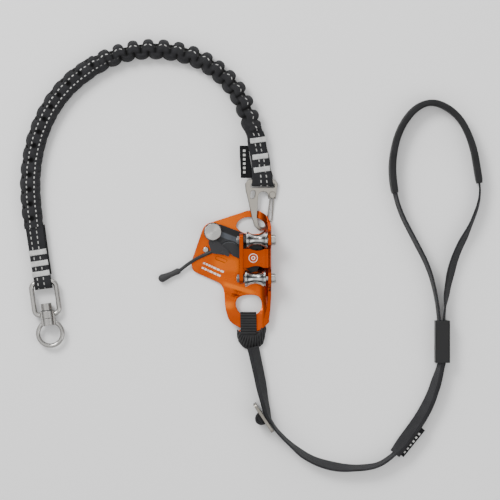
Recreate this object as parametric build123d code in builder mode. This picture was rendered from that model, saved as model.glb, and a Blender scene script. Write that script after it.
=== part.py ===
"""Rope grab for tree work: a toothed-cam ascender, its elastic lanyard and its foot strap.

Millimetres. The set lies on its back: +Z is up out of the ascender's front, +Y runs along the
rope towards the lanyard, +X is the side of the rope channel. The origin is the centre of the
ascender's footprint, on the face it lies on.
"""
from build123d import *
from math import cos, radians, sin, tan
import os

os.makedirs("parts", exist_ok=True)

# ---------------------------------------------------------------- driving dimensions
PLATE = 3.5                     # thickness of the folded aluminium plate
WALL_X = 54.2                   # outer face of the rope wall
FOLD_RADIUS = 16.0              # outer radius of the fold between back and wall
LIP_Z = 18.0                    # underside of the front lip
LIP_Y = (3.1, 22.3)             # lower and upper edge of the lip
FLANGE_X = 22.4                 # outer face of the left flange
FLANGE = 3.8                    # thickness of the left flange
JOG_YAW = -17.7                 # direction of the bend above the lower eye, degrees
JOG_RISE = 4.5                  # how far the lower eye stands forward

PIVOT = (-3.9, 39.2)            # cam axle
CAM_BOTTOM = 4.3
CAM_TOP = 13.8
TRIGGER_PIVOT = (-4.0, 28.2)
TRIGGER_TOP = 16.0
CABLE_END = (-2.6, 20.6)        # where the pull cable enters the trigger
CABLE_RADIUS = 1.75
STOP_PIN = (-11.2, 21.3)
FACE_CENTRE = (22.0, 21.0)      # middle of the curve that the cam's teeth stand on
FACE_REACH = 21.6

ROLLER_Z = 22.5                 # height of both roller axes
ROLLER_LENGTH = 21.2
ROLLER_END = 8.2                # radius at the ends
ROLLER_WAIST = 5.1              # radius at the waist
UPPER_ROLLER = (39.8, 31.0)     # centre in plan
LOWER_ROLLER = (38.3, -7.3)
BOLT = 2.5                      # bolt shank radius

HOOK = 2.5                      # thickness of the snap hook
GATE_PIVOT = (6.8, 29.6)        # in the hook's own plane
WIRE = 0.8                      # radius of the gate wire
SLEEVE = 9.5                    # radius of the gathered sleeve
CORE = 5.0                      # radius of the elastic cord in it
STEM = 3.0                      # radius of the swivel's stem
WEB = 2.0                       # thickness of the strap webbing
WEB_WIDTH = 16.0
STRAP_Z = 9.2                   # middle height of the strap, which stands on its edge
BUCKLE_Z = 11.2                 # middle height of the strap in its adjuster
BUCKLE = 3.0                    # thickness of the adjuster

HINGE_GAP = 0.05                # running clearance on a radius


def save(part, name):
    """Label a finished piece and write it as its own STEP file."""
    part.label = name
    export_step(part, f"parts/{name}.step")


def corner_radii(points, share=0.45):
    """The arc for each corner of a route: a share of its shorter run over tan(half turn)."""
    radii = []
    for before, here, after in zip(points, points[1:], points[2:]):
        run_in = Vector(*here) - Vector(*before)
        run_out = Vector(*after) - Vector(*here)
        half_turn = radians(run_in.get_angle(run_out)) / 2
        radii.append(share * min(run_in.length, run_out.length) / tan(half_turn))
    return radii


def carry(points, profile, radii=None):
    """Sweep a profile, given as a function that draws it, along a route with rounded corners."""
    with BuildPart() as swept:
        with BuildLine() as line:
            FilletPolyline(*points, radius=radii or corner_radii(points))
        path = line.wires()[0]
        with BuildSketch(Plane(origin=path @ 0, x_dir=(0, 0, 1), z_dir=path % 0)):
            profile()
        sweep(path=path)
    area = swept.part.volume / path.length
    print(f"route length {path.length:.1f}, section {area:.2f}, "
          f"radii {[round(r) for r in radii or corner_radii(points)]}")
    return swept.part


# ---------------------------------------------------------------- frame plate
skew = cos(radians(JOG_YAW))
jog_across = (skew, sin(radians(JOG_YAW)), 0)
jog_normal = (sin(radians(JOG_YAW)), -skew, 0)
wall_u = WALL_X / skew
fold_u = FOLD_RADIUS / skew
# place along Y and share of the rise, for the lower eye's S-bend
JOG_STATIONS = [(85, 0), (-10, 0), (-13, 0.05), (-17, 0.25), (-21, 0.6), (-25, 0.88), (-29, 1), (-78, 1)]

with BuildPart() as folded_section:
    for station, share in JOG_STATIONS:
        back = share * JOG_RISE
        with BuildSketch(Plane(origin=(0, station, 0), x_dir=jog_across, z_dir=jog_normal)):
            with BuildLine():
                Line((-45, back), (wall_u - fold_u, back))
                EllipticalCenterArc((wall_u - fold_u, FOLD_RADIUS), fold_u, FOLD_RADIUS - back,
                                    start_angle=270, arc_size=90)
                Line((wall_u, FOLD_RADIUS), (wall_u, 31))
                Line((wall_u, 31), (wall_u - PLATE, 31))
                Line((wall_u - PLATE, 31), (wall_u - PLATE, FOLD_RADIUS))
                EllipticalCenterArc((wall_u - fold_u, FOLD_RADIUS), fold_u - PLATE,
                                    FOLD_RADIUS - back - PLATE, start_angle=270, arc_size=90)
                Line((wall_u - fold_u, back + PLATE), (-45, back + PLATE))
                Line((-45, back + PLATE), (-45, back))
            make_face()
    loft(ruled=True)

with BuildPart() as frame_plate:
    # outline of the whole plate, seen from the front
    with BuildSketch():
        with BuildLine():
            Spline((36, 60.7), (28.5, 59.9), tangents=((-1, 0), (-3.08, -1)))
            Line((28.5, 59.9), (-7.5, 48.2))
            Spline((-7.5, 48.2), (-12.4, 45.2), (-15.4, 39.5), tangents=((-3.08, -1), (-0.344, -1)))
            Line((-15.4, 39.5), (-24.3, 13.6))
            Spline((-24.3, 13.6), (-25.7, 6.5), (-24.4, 1.6), (-19.5, -2.4), tangents=((-0.344, -1), (2.25, -1)))
            Line((-19.5, -2.4), (0.5, -11.3))
            Spline((0.5, -11.3), (5.4, -16), (7.3, -24), (7.9, -34), (10.2, -44.5), (16, -53), (24, -58.8),
                   (33, -60.7), tangents=((2.25, -1), (1, 0)))
            Spline((33, -60.7), (43.5, -58.8), (50.5, -53), (WALL_X + 0.1, -42), tangents=((1, 0), (0, 1)))
            Line((WALL_X + 0.1, -42), (WALL_X + 0.1, 40))
            Spline((WALL_X + 0.1, 40), (53.2, 49), (49.6, 55.3), (43.3, 59.6), (36, 60.7),
                   tangents=((0, 1), (-1, 0)))
        make_face()
    extrude(amount=40)
    # heights of the wall and of the ears that hold the rollers, seen from the side
    with BuildSketch(Plane.YZ, mode=Mode.PRIVATE) as side:
        with BuildLine():
            Polyline(
                (75, -1), (75, 8), (58, 9), (49, 12), (41, 17), (38.8, 25), (36, 29), (26, 29), (23.2, 25),
                (22.0, 17), (4, 17), (2.2, 25), (-1.5, 29), (-12.5, 29), (-15.6, 25), (-20, 16), (-32, 12.5),
                (-48, 10.5), (-75, 10), (-75, -1), close=True
            )
        make_face()
        fillet(side.vertices().filter_by(lambda corner: 8.5 < corner.Z < 30), 1.6)
    extrude(side.sketch, amount=200, both=True, mode=Mode.INTERSECT)
    add(folded_section.part, mode=Mode.INTERSECT)
    # lip folded back over the rope
    with BuildSketch(Plane.XZ.offset(-LIP_Y[1])):
        with BuildLine():
            Line((WALL_X, 15), (WALL_X, LIP_Z - 2))
            CenterArc((WALL_X - 5.5, LIP_Z - 2), 5.5, 0, 90)
            Line((WALL_X - 5.5, LIP_Z + PLATE), (FLANGE_X + 1, LIP_Z + PLATE))
            Line((FLANGE_X + 1, LIP_Z + PLATE), (FLANGE_X + 1, LIP_Z))
            Line((FLANGE_X + 1, LIP_Z), (WALL_X - 5.5, LIP_Z))
            CenterArc((WALL_X - 5.5, LIP_Z - 2), 2, 0, 90)
            Line((WALL_X - 3.5, LIP_Z - 2), (WALL_X - 3.5, 15))
            Line((WALL_X - 3.5, 15), (WALL_X, 15))
        make_face()
    extrude(amount=LIP_Y[1] - LIP_Y[0])
    with BuildSketch(Plane.XY.offset(LIP_Z - 1)):
        with Locations((40.5, LIP_Y[1] + 13.6), (39, LIP_Y[0] - 13.6)):
            Circle(15.5)
    extrude(amount=6, mode=Mode.SUBTRACT)
    # left flange with the rollers' other ears
    with BuildSketch(Plane.YZ.offset(FLANGE_X)):
        with BuildLine():
            CenterArc((UPPER_ROLLER[1], ROLLER_Z), 6.6, 0, 360)
            CenterArc((LOWER_ROLLER[1], ROLLER_Z), 5.6, 0, 360)
        make_hull()
    extrude(amount=FLANGE)
    # eyes
    with BuildSketch(Plane.XY.offset(-1)):
        with BuildLine():
            Spline((19.3, 46.3), (22, 50.6), (27, 53.3), (34, 54.1), (41, 52.9), (46, 49.9), (48.3, 45.5),
                   (47.6, 41), (43.5, 38), (36, 37), (27.5, 38), (21.5, 41.5), periodic=True)
        make_face()
    extrude(amount=12, mode=Mode.SUBTRACT)
    with BuildSketch(Plane.XY.offset(-1)):
        with BuildLine():
            Spline((18.7, -31.6), (21.3, -27), (26, -24.8), (32.3, -24), (38.5, -24.5), (42.6, -26.8), (44.5, -31.5),
                   (43.8, -38.6), (40, -42.8), (32.3, -44.4), (24, -42.9), (20, -38), periodic=True)
        make_face()
    extrude(amount=20, mode=Mode.SUBTRACT)
    # pressed mark beside the cam, bores for the axle, the stop pin and the roller bolts
    with BuildSketch(Plane.XY.offset(PLATE - 1.0)):
        with Locations((4.1, 11.5)):
            SlotOverall(12, 3.6, rotation=-20)
    extrude(amount=2, mode=Mode.SUBTRACT)
    with Locations((PIVOT[0], PIVOT[1], PLATE)):
        Hole(4.0, depth=PLATE)
    with Locations((STOP_PIN[0], STOP_PIN[1], PLATE)):
        Hole(2.0, depth=PLATE)
    with Locations(*[Location((70, y, ROLLER_Z), (0, 90, 0)) for y in (UPPER_ROLLER[1], LOWER_ROLLER[1])]):
        Hole(BOLT + HINGE_GAP, depth=60)
save(frame_plate.part, "frame_plate")

# ---------------------------------------------------------------- cam and its axle
with BuildPart() as cam:
    with BuildSketch(Plane.XY.offset(CAM_BOTTOM)):
        with BuildLine():
            Polyline(
                (2.6, 46.9), (22.5, 39.5), (36, 33.5), (44.6, 27.4), (46.0, 20.5), (45.0, 14.0), (43.4, 7.0),
                (40.0, -0.4), (33.5, -1.8), (28.6, 3.4), (22, 12.4), (15.6, 15.3), (6.4, 23.8), (-2.6, 30), (-9, 31), close=True
            )
        make_face()
        with Locations(PIVOT):
            Circle(9.2)
        with Locations(TRIGGER_PIVOT):
            Circle(4.05)
    extrude(amount=CAM_TOP - CAM_BOTTOM)
    # curved step across the cam's front
    with BuildSketch(Plane.XY.offset(CAM_TOP - 1.4)):
        with Locations((12.5, 18.0)):
            Circle(12.6)
            Circle(11.0, mode=Mode.SUBTRACT)
    extrude(amount=3, mode=Mode.SUBTRACT)
    # teeth on the rope face
    for row in (-2.7, 0.2, 3.1):
        for step in range(7):
            turn = -43 + step * 9.5 + row
            with BuildSketch(Plane(
                origin=(FACE_CENTRE[0] + FACE_REACH * cos(radians(turn)),
                        FACE_CENTRE[1] + FACE_REACH * sin(radians(turn)),
                        (CAM_BOTTOM + CAM_TOP) / 2 + row),
                z_dir=(cos(radians(turn + 14)), sin(radians(turn + 14)), 0),
            )):
                Circle(1.1)
            extrude(amount=3.2, taper=16)
    # underside rounded to follow the fold of the plate
    with BuildSketch(Plane.XZ):
        with BuildLine():
            CenterArc((WALL_X - FOLD_RADIUS, FOLD_RADIUS), FOLD_RADIUS - PLATE - 0.4, 270, 90)
            Polyline((WALL_X - PLATE - 0.4, FOLD_RADIUS), (60, FOLD_RADIUS), (60, 0),
                     (WALL_X - FOLD_RADIUS, 0), (WALL_X - FOLD_RADIUS, PLATE + 0.4))
        make_face()
    extrude(amount=90, both=True, mode=Mode.SUBTRACT)
    # tip cut away below, so that it passes over the bend in the plate
    with BuildSketch(Plane.XY.offset(CAM_BOTTOM)):
        with Locations((37, -1)):
            Rectangle(24, 8)
    extrude(amount=2.2, mode=Mode.SUBTRACT)
    # slot that clears mud from the teeth
    with BuildSketch(Plane.XY.offset(CAM_BOTTOM)):
        with Locations((38.2, 16.5)):
            SlotOverall(11, 3.4, rotation=62)
    extrude(amount=12, mode=Mode.SUBTRACT)
    with Locations((PIVOT[0], PIVOT[1], CAM_TOP)):
        Hole(4.0 + HINGE_GAP, depth=12)
    with Locations((TRIGGER_PIVOT[0], TRIGGER_PIVOT[1], CAM_TOP)):
        Hole(1.25, depth=7)
    # room for the two springs
    with BuildSketch(Plane.XY.offset(CAM_BOTTOM)):
        with Locations(PIVOT):
            Circle(7.4)
    extrude(amount=5, mode=Mode.SUBTRACT)
    with BuildSketch(Plane.XY.offset(CAM_TOP)):
        with Locations(TRIGGER_PIVOT):
            Circle(3.2)
            Circle(2.0, mode=Mode.SUBTRACT)
    extrude(amount=-2.4, mode=Mode.SUBTRACT)
save(cam.part, "cam")

with BuildPart() as cam_axle:
    with BuildSketch(Plane(origin=(PIVOT[0], PIVOT[1], 0), x_dir=(1, 0, 0), z_dir=(0, -1, 0))):
        with BuildLine():
            Polyline(
                (0, 0), (3.98, 0), (3.98, CAM_TOP + 0.3), (5, CAM_TOP + 0.3), (5, TRIGGER_TOP + 0.4),
                (8.5, TRIGGER_TOP + 0.4), (8.5, 19.1), (7.9, 19.7), (0, 19.7), close=True
            )
        make_face()
    revolve(axis=Axis((PIVOT[0], PIVOT[1], 0), (0, 0, 1)))
save(cam_axle.part, "cam_axle")

with BuildPart() as cam_washer:
    with BuildSketch(Plane.XY.offset(PLATE)):
        with Locations(PIVOT):
            Circle(9.0)
            Circle(4.0 + HINGE_GAP, mode=Mode.SUBTRACT)
    extrude(amount=CAM_BOTTOM - PLATE - 0.1)
save(cam_washer.part, "cam_washer")

with BuildPart() as cam_spring:
    with BuildLine() as coil:
        Helix(pitch=1.3, height=3.25, radius=6.0, center=(PIVOT[0], PIVOT[1], CAM_BOTTOM + 0.8))
    with BuildSketch(Plane(origin=coil.line @ 0, z_dir=coil.line % 0)):
        Circle(0.5)
    sweep(path=coil.line.edges()[0], is_frenet=True)
save(cam_spring.part, "cam_spring")

with BuildPart() as cam_stop_pin:
    with Locations((STOP_PIN[0], STOP_PIN[1], 0)):
        Cylinder(1.98, PLATE, align=(Align.CENTER, Align.CENTER, Align.MIN))
    with Locations((STOP_PIN[0], STOP_PIN[1], PLATE)):
        Cylinder(3.0, 5.0, align=(Align.CENTER, Align.CENTER, Align.MIN))
    fillet(cam_stop_pin.edges().group_by(Axis.Z)[-1], 0.9)
save(cam_stop_pin.part, "cam_stop_pin")

# ---------------------------------------------------------------- trigger and pull cable
cable_route = [
    (-2.9, 20.46, 13.1), (-11.0, 16.8, 12.7), (-20.3, 12.6, 9.2), (-28.5, 7.4, 5.8), (-39.5, -1.1, 4.3),
]

with BuildPart() as trigger:
    with BuildSketch(Plane.XY.offset(CAM_TOP + 0.35)):
        with BuildLine():
            CenterArc(TRIGGER_PIVOT, 4.4, 0, 360)
            CenterArc(CABLE_END, 3.3, 0, 360)
            CenterArc((9.6, 18.4), 2.6, 0, 360)
        make_hull()
    extrude(amount=TRIGGER_TOP - CAM_TOP - 0.35)
    # hooked catch at the lever's end, and the boss that takes the cable
    with BuildSketch(Plane.XY.offset(CAM_TOP + 0.35)):
        with Locations((8.6, 17.6)):
            Rectangle(8.2, 3.6, rotation=-28)
    extrude(amount=3.3)
    with BuildSketch(Plane.XY.offset(10.2)):
        with Locations(CABLE_END):
            Circle(3.3)
    extrude(amount=TRIGGER_TOP - 10.2)
    with Locations((TRIGGER_PIVOT[0], TRIGGER_PIVOT[1], TRIGGER_TOP)):
        Hole(1.25 + HINGE_GAP, depth=4)
    with BuildSketch(Plane(origin=cable_route[0], z_dir=Vector(*cable_route[1]) - Vector(*cable_route[0]))):
        Circle(CABLE_RADIUS + 0.02)
    extrude(amount=6, mode=Mode.SUBTRACT)
save(trigger.part, "trigger")

with BuildPart() as trigger_pin:
    with Locations((TRIGGER_PIVOT[0], TRIGGER_PIVOT[1], CAM_TOP - 6)):
        Cylinder(1.25, TRIGGER_TOP - CAM_TOP + 6, align=(Align.CENTER, Align.CENTER, Align.MIN))
save(trigger_pin.part, "trigger_pin")

with BuildPart() as trigger_spring:
    with BuildLine() as coil:
        Helix(pitch=0.75, height=1.5, radius=2.6,
              center=(TRIGGER_PIVOT[0], TRIGGER_PIVOT[1], CAM_TOP - 2.0))
    with BuildSketch(Plane(origin=coil.line @ 0, z_dir=coil.line % 0)):
        Circle(0.28)
    sweep(path=coil.line.edges()[0], is_frenet=True)
save(trigger_spring.part, "trigger_spring")

trigger_cable = carry(cable_route, lambda: Circle(CABLE_RADIUS))
save(trigger_cable, "trigger_cable")

grip_axis = Plane(origin=(-37.5, 0.5, 4.3), x_dir=(0, 0, 1), z_dir=(-0.913, -0.408, -0.008))
with BuildPart() as trigger_knob:
    with BuildSketch(Plane(origin=grip_axis.origin, x_dir=grip_axis.x_dir, z_dir=grip_axis.y_dir)):
        with BuildLine():
            Line((0, 0), (0, -23.2))
            ThreePointArc((0, -23.2), (2.9, -21.9), (4.1, -19.1))
            Spline((4.1, -19.1), (3.3, -13.6), (2.9, -8.0), (3.2, -2.2))
            Polyline((3.2, -2.2), (2.5, -0.2), (2.5, 0), (0, 0))
        make_face()
    revolve(axis=Axis(grip_axis.origin, grip_axis.z_dir))
    add(trigger_cable, mode=Mode.SUBTRACT)
save(trigger_knob.part, "trigger_knob")

# ---------------------------------------------------------------- rollers, bushes, bolts
bolt_heads = {UPPER_ROLLER: 5.3, LOWER_ROLLER: 4.9}
for roller, name in ((UPPER_ROLLER, "upper"), (LOWER_ROLLER, "lower")):
    start = roller[0] - ROLLER_LENGTH / 2
    across = Plane(origin=(start, roller[1], ROLLER_Z), x_dir=(1, 0, 0), z_dir=(0, -1, 0))
    along = Axis((start, roller[1], ROLLER_Z), (1, 0, 0))
    with BuildPart() as waisted_roller:
        with BuildSketch(across):
            with BuildLine():
                Line((0, 3.6), (0, ROLLER_END - 0.5))
                Line((0, ROLLER_END - 0.5), (0.5, ROLLER_END))
                Line((0.5, ROLLER_END), (2.2, ROLLER_END))
                ThreePointArc((2.2, ROLLER_END), (ROLLER_LENGTH / 2, ROLLER_WAIST),
                              (ROLLER_LENGTH - 2.2, ROLLER_END))
                Line((ROLLER_LENGTH - 2.2, ROLLER_END), (ROLLER_LENGTH - 0.5, ROLLER_END))
                Line((ROLLER_LENGTH - 0.5, ROLLER_END), (ROLLER_LENGTH, ROLLER_END - 0.5))
                Line((ROLLER_LENGTH, ROLLER_END - 0.5), (ROLLER_LENGTH, 3.6))
                Line((ROLLER_LENGTH, 3.6), (0, 3.6))
            make_face()
        revolve(axis=along)
    save(waisted_roller.part, f"{name}_roller")
    with BuildPart() as roller_bush:
        with BuildSketch(across):
            with Locations((0, BOLT + HINGE_GAP)):
                Rectangle(ROLLER_LENGTH, 3.6 - BOLT - HINGE_GAP, align=(Align.MIN, Align.MIN))
        revolve(axis=along)
    save(roller_bush.part, f"{name}_roller_bush")

with BuildPart() as roller_bolts:
    for roller in (UPPER_ROLLER, LOWER_ROLLER):
        with BuildSketch(Plane.YZ.offset(FLANGE_X - 2.6)):
            with Locations((roller[1], ROLLER_Z)):
                Circle(BOLT)
        extrude(amount=WALL_X - FLANGE_X + 2.6)
        with BuildSketch(Plane.YZ.offset(WALL_X)):
            with Locations((roller[1], ROLLER_Z)):
                Circle(bolt_heads[roller])
        extrude(amount=3.6)
        with BuildSketch(Plane.YZ.offset(WALL_X + 3.6)):
            with Locations((roller[1], ROLLER_Z)):
                Circle(bolt_heads[roller] - 0.7)
        extrude(amount=1.1)
        with BuildSketch(Plane.YZ.offset(WALL_X + 4.7)):
            with Locations((roller[1], ROLLER_Z)):
                RegularPolygon(2.4, 6)
        extrude(amount=-2.6, mode=Mode.SUBTRACT)
save(roller_bolts.part, "roller_bolts")

with BuildPart() as roller_nuts:
    for roller in (UPPER_ROLLER, LOWER_ROLLER):
        with BuildSketch(Plane.YZ.offset(FLANGE_X)):
            with Locations((roller[1], ROLLER_Z)):
                RegularPolygon(4.5, 6, rotation=90)
                Circle(BOLT + 0.01, mode=Mode.SUBTRACT)
        extrude(amount=-2.2)
save(roller_nuts.part, "roller_nuts")

with BuildPart() as roller_spacers:
    for roller in (UPPER_ROLLER, LOWER_ROLLER):
        left_gap = roller[0] - ROLLER_LENGTH / 2 - 0.1 - FLANGE_X - FLANGE
        with BuildSketch(Plane.YZ.offset(FLANGE_X + FLANGE)):
            with Locations((roller[1], ROLLER_Z)):
                Circle(4.4)
                Circle(BOLT + 0.02, mode=Mode.SUBTRACT)
        extrude(amount=left_gap)
save(roller_spacers.part, "roller_spacers")

# ---------------------------------------------------------------- snap hook
hook_plane = Plane(origin=(48, 47, 2.25), x_dir=(1, 0, -0.252), z_dir=(0.252, -0.09, 1))

with BuildPart() as hook_body:
    with BuildSketch(hook_plane.offset(-HOOK / 2)):
        with BuildLine():
            Polyline(
                (-18.2, 44.9), (-21.4, 40.5), (-20.4, 33), (-17.8, 24), (-14.0, 7.5), (-10.6, -2.2), (-6.0, -6.3),
                (-0.5, -6.3), (3.0, -3.0), (3.7, 0.9), (1.0, 1.3), (-0.4, -2.6), (-4.0, -3.5), (-6.8, -1.4),
                (-8.9, 7.5), (-7.9, 25), (-7.9, 33), (2.8, 33), (2.8, 25.5), (10.2, 25.5), (11.2, 33),
                (12.4, 40.5), (9.8, 44.9), close=True
            )
        make_face()
        fillet(vertices().filter_by(lambda c: c.Y > 39), 2.6)
        fillet(vertices().filter_by(lambda c: 32 < c.Y < 33.5 and -9 < c.X < 4), 5.3)
        fillet(vertices().filter_by(lambda c: 24 < c.Y < 26 and c.X > 0), 0.5)
        fillet(vertices().filter_by(lambda c: c.Y < 2 and c.X < -0.4), 1.6)
        with Locations((-3.25, 38.8)):
            RectangleRounded(25.0, 4.4, 1.8, mode=Mode.SUBTRACT)
        with Locations((-13.4, 29.8)):
            SlotOverall(8.4, 5.0, rotation=80, mode=Mode.SUBTRACT)
        with Locations(GATE_PIVOT):
            Circle(2.9, mode=Mode.SUBTRACT)
        with Locations((GATE_PIVOT[0] - 0.25, 26)):
            Rectangle(6.2, 7.0, mode=Mode.SUBTRACT)
    extrude(amount=HOOK)
save(hook_body.part, "hook_body")

gate_low = hook_plane.offset(-0.1)
with BuildPart() as hook_gate:
    with BuildSketch(gate_low.offset(-1.0)):
        with Locations(GATE_PIVOT):
            Circle(2.5)
            Circle(0.9 + HINGE_GAP, mode=Mode.SUBTRACT)
    extrude(amount=2.1)
    with BuildLine(gate_low) as gate_wire:
        FilletPolyline((5.2, 28.2), (2.5, 2.7), (7.1, 2.7), (8.4, 28.2), radius=2.1)
    wire_path = gate_wire.wires()[0]
    with BuildSketch(Plane(origin=wire_path @ 0, z_dir=wire_path % 0)):
        Circle(WIRE)
    sweep(path=wire_path)
save(hook_gate.part, "hook_gate")

with BuildPart() as hook_gate_rivet:
    with BuildSketch(hook_plane.offset(-HOOK / 2 - 0.5)):
        with Locations(GATE_PIVOT):
            Circle(0.9)
    extrude(amount=HOOK + 1.0)
    for face in (-HOOK / 2 - 0.55, HOOK / 2 + 0.05):
        with BuildSketch(hook_plane.offset(face)):
            with Locations(GATE_PIVOT):
                Circle(3.4)
        extrude(amount=0.5)
save(hook_gate_rivet.part, "hook_gate_rivet")

# ---------------------------------------------------------------- lanyard
fold_side = Plane(origin=hook_plane.origin, x_dir=hook_plane.y_dir, z_dir=hook_plane.x_dir)
with BuildPart() as hook_end_webbing:
    with BuildSketch(fold_side):
        with BuildLine():
            Polyline((98, 2.6), (50, 2.6), (45, 3.1), (40, 3.1), (37.7, 1.5), (37.7, -1.5), (40, -3.1), (45, -3.1),
                     (50, -2.6), (98, -2.6), close=True)
        make_face()
        with BuildLine():
            Polyline((40.3, -1.55), (45.3, -1.55), (49, 0), (45.3, 1.55), (40.3, 1.55), close=True)
        make_face(mode=Mode.SUBTRACT)
    extrude(amount=40, both=True)
    with BuildSketch(hook_plane.offset(-6)):
        with BuildLine():
            Polyline((-15.2, 37), (-14.6, 46), (-15.4, 59), (-20.3, 84.2), (-22.4, 89.8), (-4.8, 95.0),
                     (-1.6, 84.2), (3.4, 59), (6.6, 46), (9.1, 37), close=True)
        make_face()
    extrude(amount=12, mode=Mode.INTERSECT)
save(hook_end_webbing.part, "hook_end_webbing")

with BuildPart() as hook_end_bartacks:
    for centre, width in (((-4.9, 55.2), 17.0), ((-7.0, 68.0), 16.2), ((-10.4, 84.6), 16.2)):
        with BuildSketch(hook_plane.offset(2.6)):
            with Locations(centre):
                RectangleRounded(width, 5.0, 1.0, rotation=8)
        extrude(amount=0.5)
save(hook_end_bartacks.part, "hook_end_bartacks")

with BuildPart() as lanyard_tag:
    with BuildSketch(hook_plane.offset(-0.5)):
        with BuildLine():
            Polyline((-26.1, 46.2), (-14.0, 46.2), (-18.0, 78.6), (-27.9, 78.6), close=True)
        make_face()
    extrude(amount=1.0)
    add(hook_end_webbing.part, mode=Mode.SUBTRACT)
save(lanyard_tag.part, "lanyard_tag")

lanyard_route = [
    (36.4, 140.2, 13.3), (29.8, 162.8, 11.6), (14.8, 189.2, 9.9), (-16, 213.5, 9.7), (-54, 223, 9.6),
    (-92, 220.5, 9.6), (-127, 205, 9.6), (-157, 179.8, 9.6), (-177, 146, 9.6), (-186.5, 109, 9.6),
    (-187.5, 72, 9.6), (-183.3, 43.2, 9.6),
]


def sleeve_section():
    """Section of the gathered sleeve round its elastic cord."""
    Circle(SLEEVE)
    Circle(CORE + 0.1, mode=Mode.SUBTRACT)


lanyard_sleeve = carry(lanyard_route, sleeve_section)
save(lanyard_sleeve, "lanyard_sleeve")
lanyard_core = carry(lanyard_route, lambda: Circle(CORE))
save(lanyard_core, "lanyard_core")

# ---------------------------------------------------------------- swivel
SWIVEL_YAW = radians(8)
SWIVEL_DIP = radians(1)
swivel = Plane(
    origin=(-170.3, -40.0, 8.0),
    x_dir=(cos(SWIVEL_YAW), sin(SWIVEL_YAW), 0),
    z_dir=(sin(SWIVEL_YAW) * cos(SWIVEL_DIP), -cos(SWIVEL_YAW) * cos(SWIVEL_DIP), -sin(SWIVEL_DIP)),
)
YOKE_BAR = -29.0                # height of the bar that the webbing wraps, along the swivel's axis
swivel_flat = Plane(origin=swivel.origin, x_dir=swivel.x_dir, z_dir=-swivel.y_dir)

with BuildPart() as swivel_yoke:
    with BuildLine(swivel_flat) as yoke_line:
        FilletPolyline((12.5, 3.6), (12.5, YOKE_BAR), (-12.5, YOKE_BAR), (-12.5, 3.6), radius=5.5, close=True)
    with BuildSketch(Plane(origin=yoke_line.wires()[0] @ 0, z_dir=yoke_line.wires()[0] % 0)):
        Circle(2.5)
    sweep(path=yoke_line.wires()[0])
    with BuildSketch(swivel):
        Circle(7.6)
    extrude(amount=7.2)
    with BuildSketch(swivel.offset(-4)):
        Circle(STEM + HINGE_GAP)
    extrude(amount=20, mode=Mode.SUBTRACT)
save(swivel_yoke.part, "swivel_yoke")

with BuildPart() as swivel_ring:
    with BuildSketch(swivel.offset(7.6)):
        Circle(7.4)
    extrude(amount=7.0)
    with BuildSketch(swivel.offset(-1.2)):
        Circle(STEM)
    extrude(amount=10)
    with BuildLine(Plane(origin=swivel.from_local_coords((0, 0, 22.9)), x_dir=swivel.x_dir,
                         z_dir=swivel.y_dir)) as ring_line:
        CenterArc((0, 0), 12.25, 0, 360)
    with BuildSketch(Plane(origin=ring_line.line @ 0, z_dir=ring_line.line % 0)):
        Circle(2.25)
    sweep(path=ring_line.wires()[0])
save(swivel_ring.part, "swivel_ring")

with BuildPart() as swivel_nut:
    with BuildSketch(swivel.offset(-7.6)):
        Circle(5.4)
    extrude(amount=6.4)
    with BuildSketch(swivel.offset(-1.2)):
        Circle(5.4)
        Circle(STEM, mode=Mode.SUBTRACT)
    extrude(amount=0.3)
save(swivel_nut.part, "swivel_nut")

with BuildPart() as swivel_washer:
    with BuildSketch(swivel.offset(-0.7)):
        Circle(6.2)
        Circle(STEM + HINGE_GAP, mode=Mode.SUBTRACT)
    extrude(amount=0.6)
save(swivel_washer.part, "swivel_washer")

with BuildPart() as swivel_end_webbing:
    with BuildSketch(Plane(origin=swivel.origin, x_dir=swivel.z_dir, z_dir=swivel.x_dir)):
        with BuildLine():
            Polyline((-82.4, -2.6), (-82.4, 2.6), (-34.8, 2.6), (-32.4, 4.7), (-26, 4.7), (-22, 2.4),
                     (-22, -2.4), (-26, -4.7), (-32.4, -4.7), (-34.8, -2.6), close=True)
        make_face()
        with BuildLine():
            Polyline((-34, 0), (-31.7, 2.65), (-26.2, 2.7), (-25.4, 0), (-26.2, -2.7), (-31.7, -2.65), close=True)
        make_face(mode=Mode.SUBTRACT)
    extrude(amount=9.2, both=True)
save(swivel_end_webbing.part, "swivel_end_webbing")

with BuildPart() as swivel_end_bartacks:
    for place in (59.3, 48.2, 37.8):
        with BuildSketch(Plane(origin=swivel.origin, x_dir=swivel.x_dir, z_dir=swivel.y_dir).offset(2.6)):
            with Locations((-0.4, place)):
                RectangleRounded(17.4, 5.2, 1.0)
        extrude(amount=0.5)
save(swivel_end_bartacks.part, "swivel_end_bartacks")

# ---------------------------------------------------------------- foot strap
with BuildPart() as strap_hitch:
    # crown of the hitch below the rim
    with BuildSketch(Plane.XY.offset(0.6)):
        with BuildLine():
            Polyline((19, -63), (20.5, -70), (26.1, -75.6), (31.2, -77.3), (41.4, -74.3), (47.1, -68.6), (49.2, -62),
                     close=True)
        make_face()
        fillet(vertices(), 1.5)
    extrude(amount=10.6)
    fillet(strap_hitch.edges().group_by(Axis.Z)[-1], 1.6)
    # band round the rim of the lower eye
    with BuildSketch(Plane.YZ.offset(23.0)):
        with BuildLine():
            Polyline((-41.2, 2.4), (-41.2, 10.0), (-42.2, 10.8), (-65, 10.8), (-65, 1.7), (-42.2, 1.7), close=True)
        make_face()
        with BuildLine():
            Polyline((-43.5, 4.1), (-43.5, 8.4), (-61.5, 8.4), (-61.5, 4.1), close=True)
        make_face(mode=Mode.SUBTRACT)
    extrude(amount=16.4)
    # turn of the webbing that shows to the right, behind the rim
    with BuildSketch(Plane.XY.offset(0.6)):
        with Locations((45.3, -58)):
            RectangleRounded(7.6, 14, 2.0)
    extrude(amount=3.0)
    add(frame_plate.part, mode=Mode.SUBTRACT)
save(strap_hitch.part, "strap_hitch")

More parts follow.
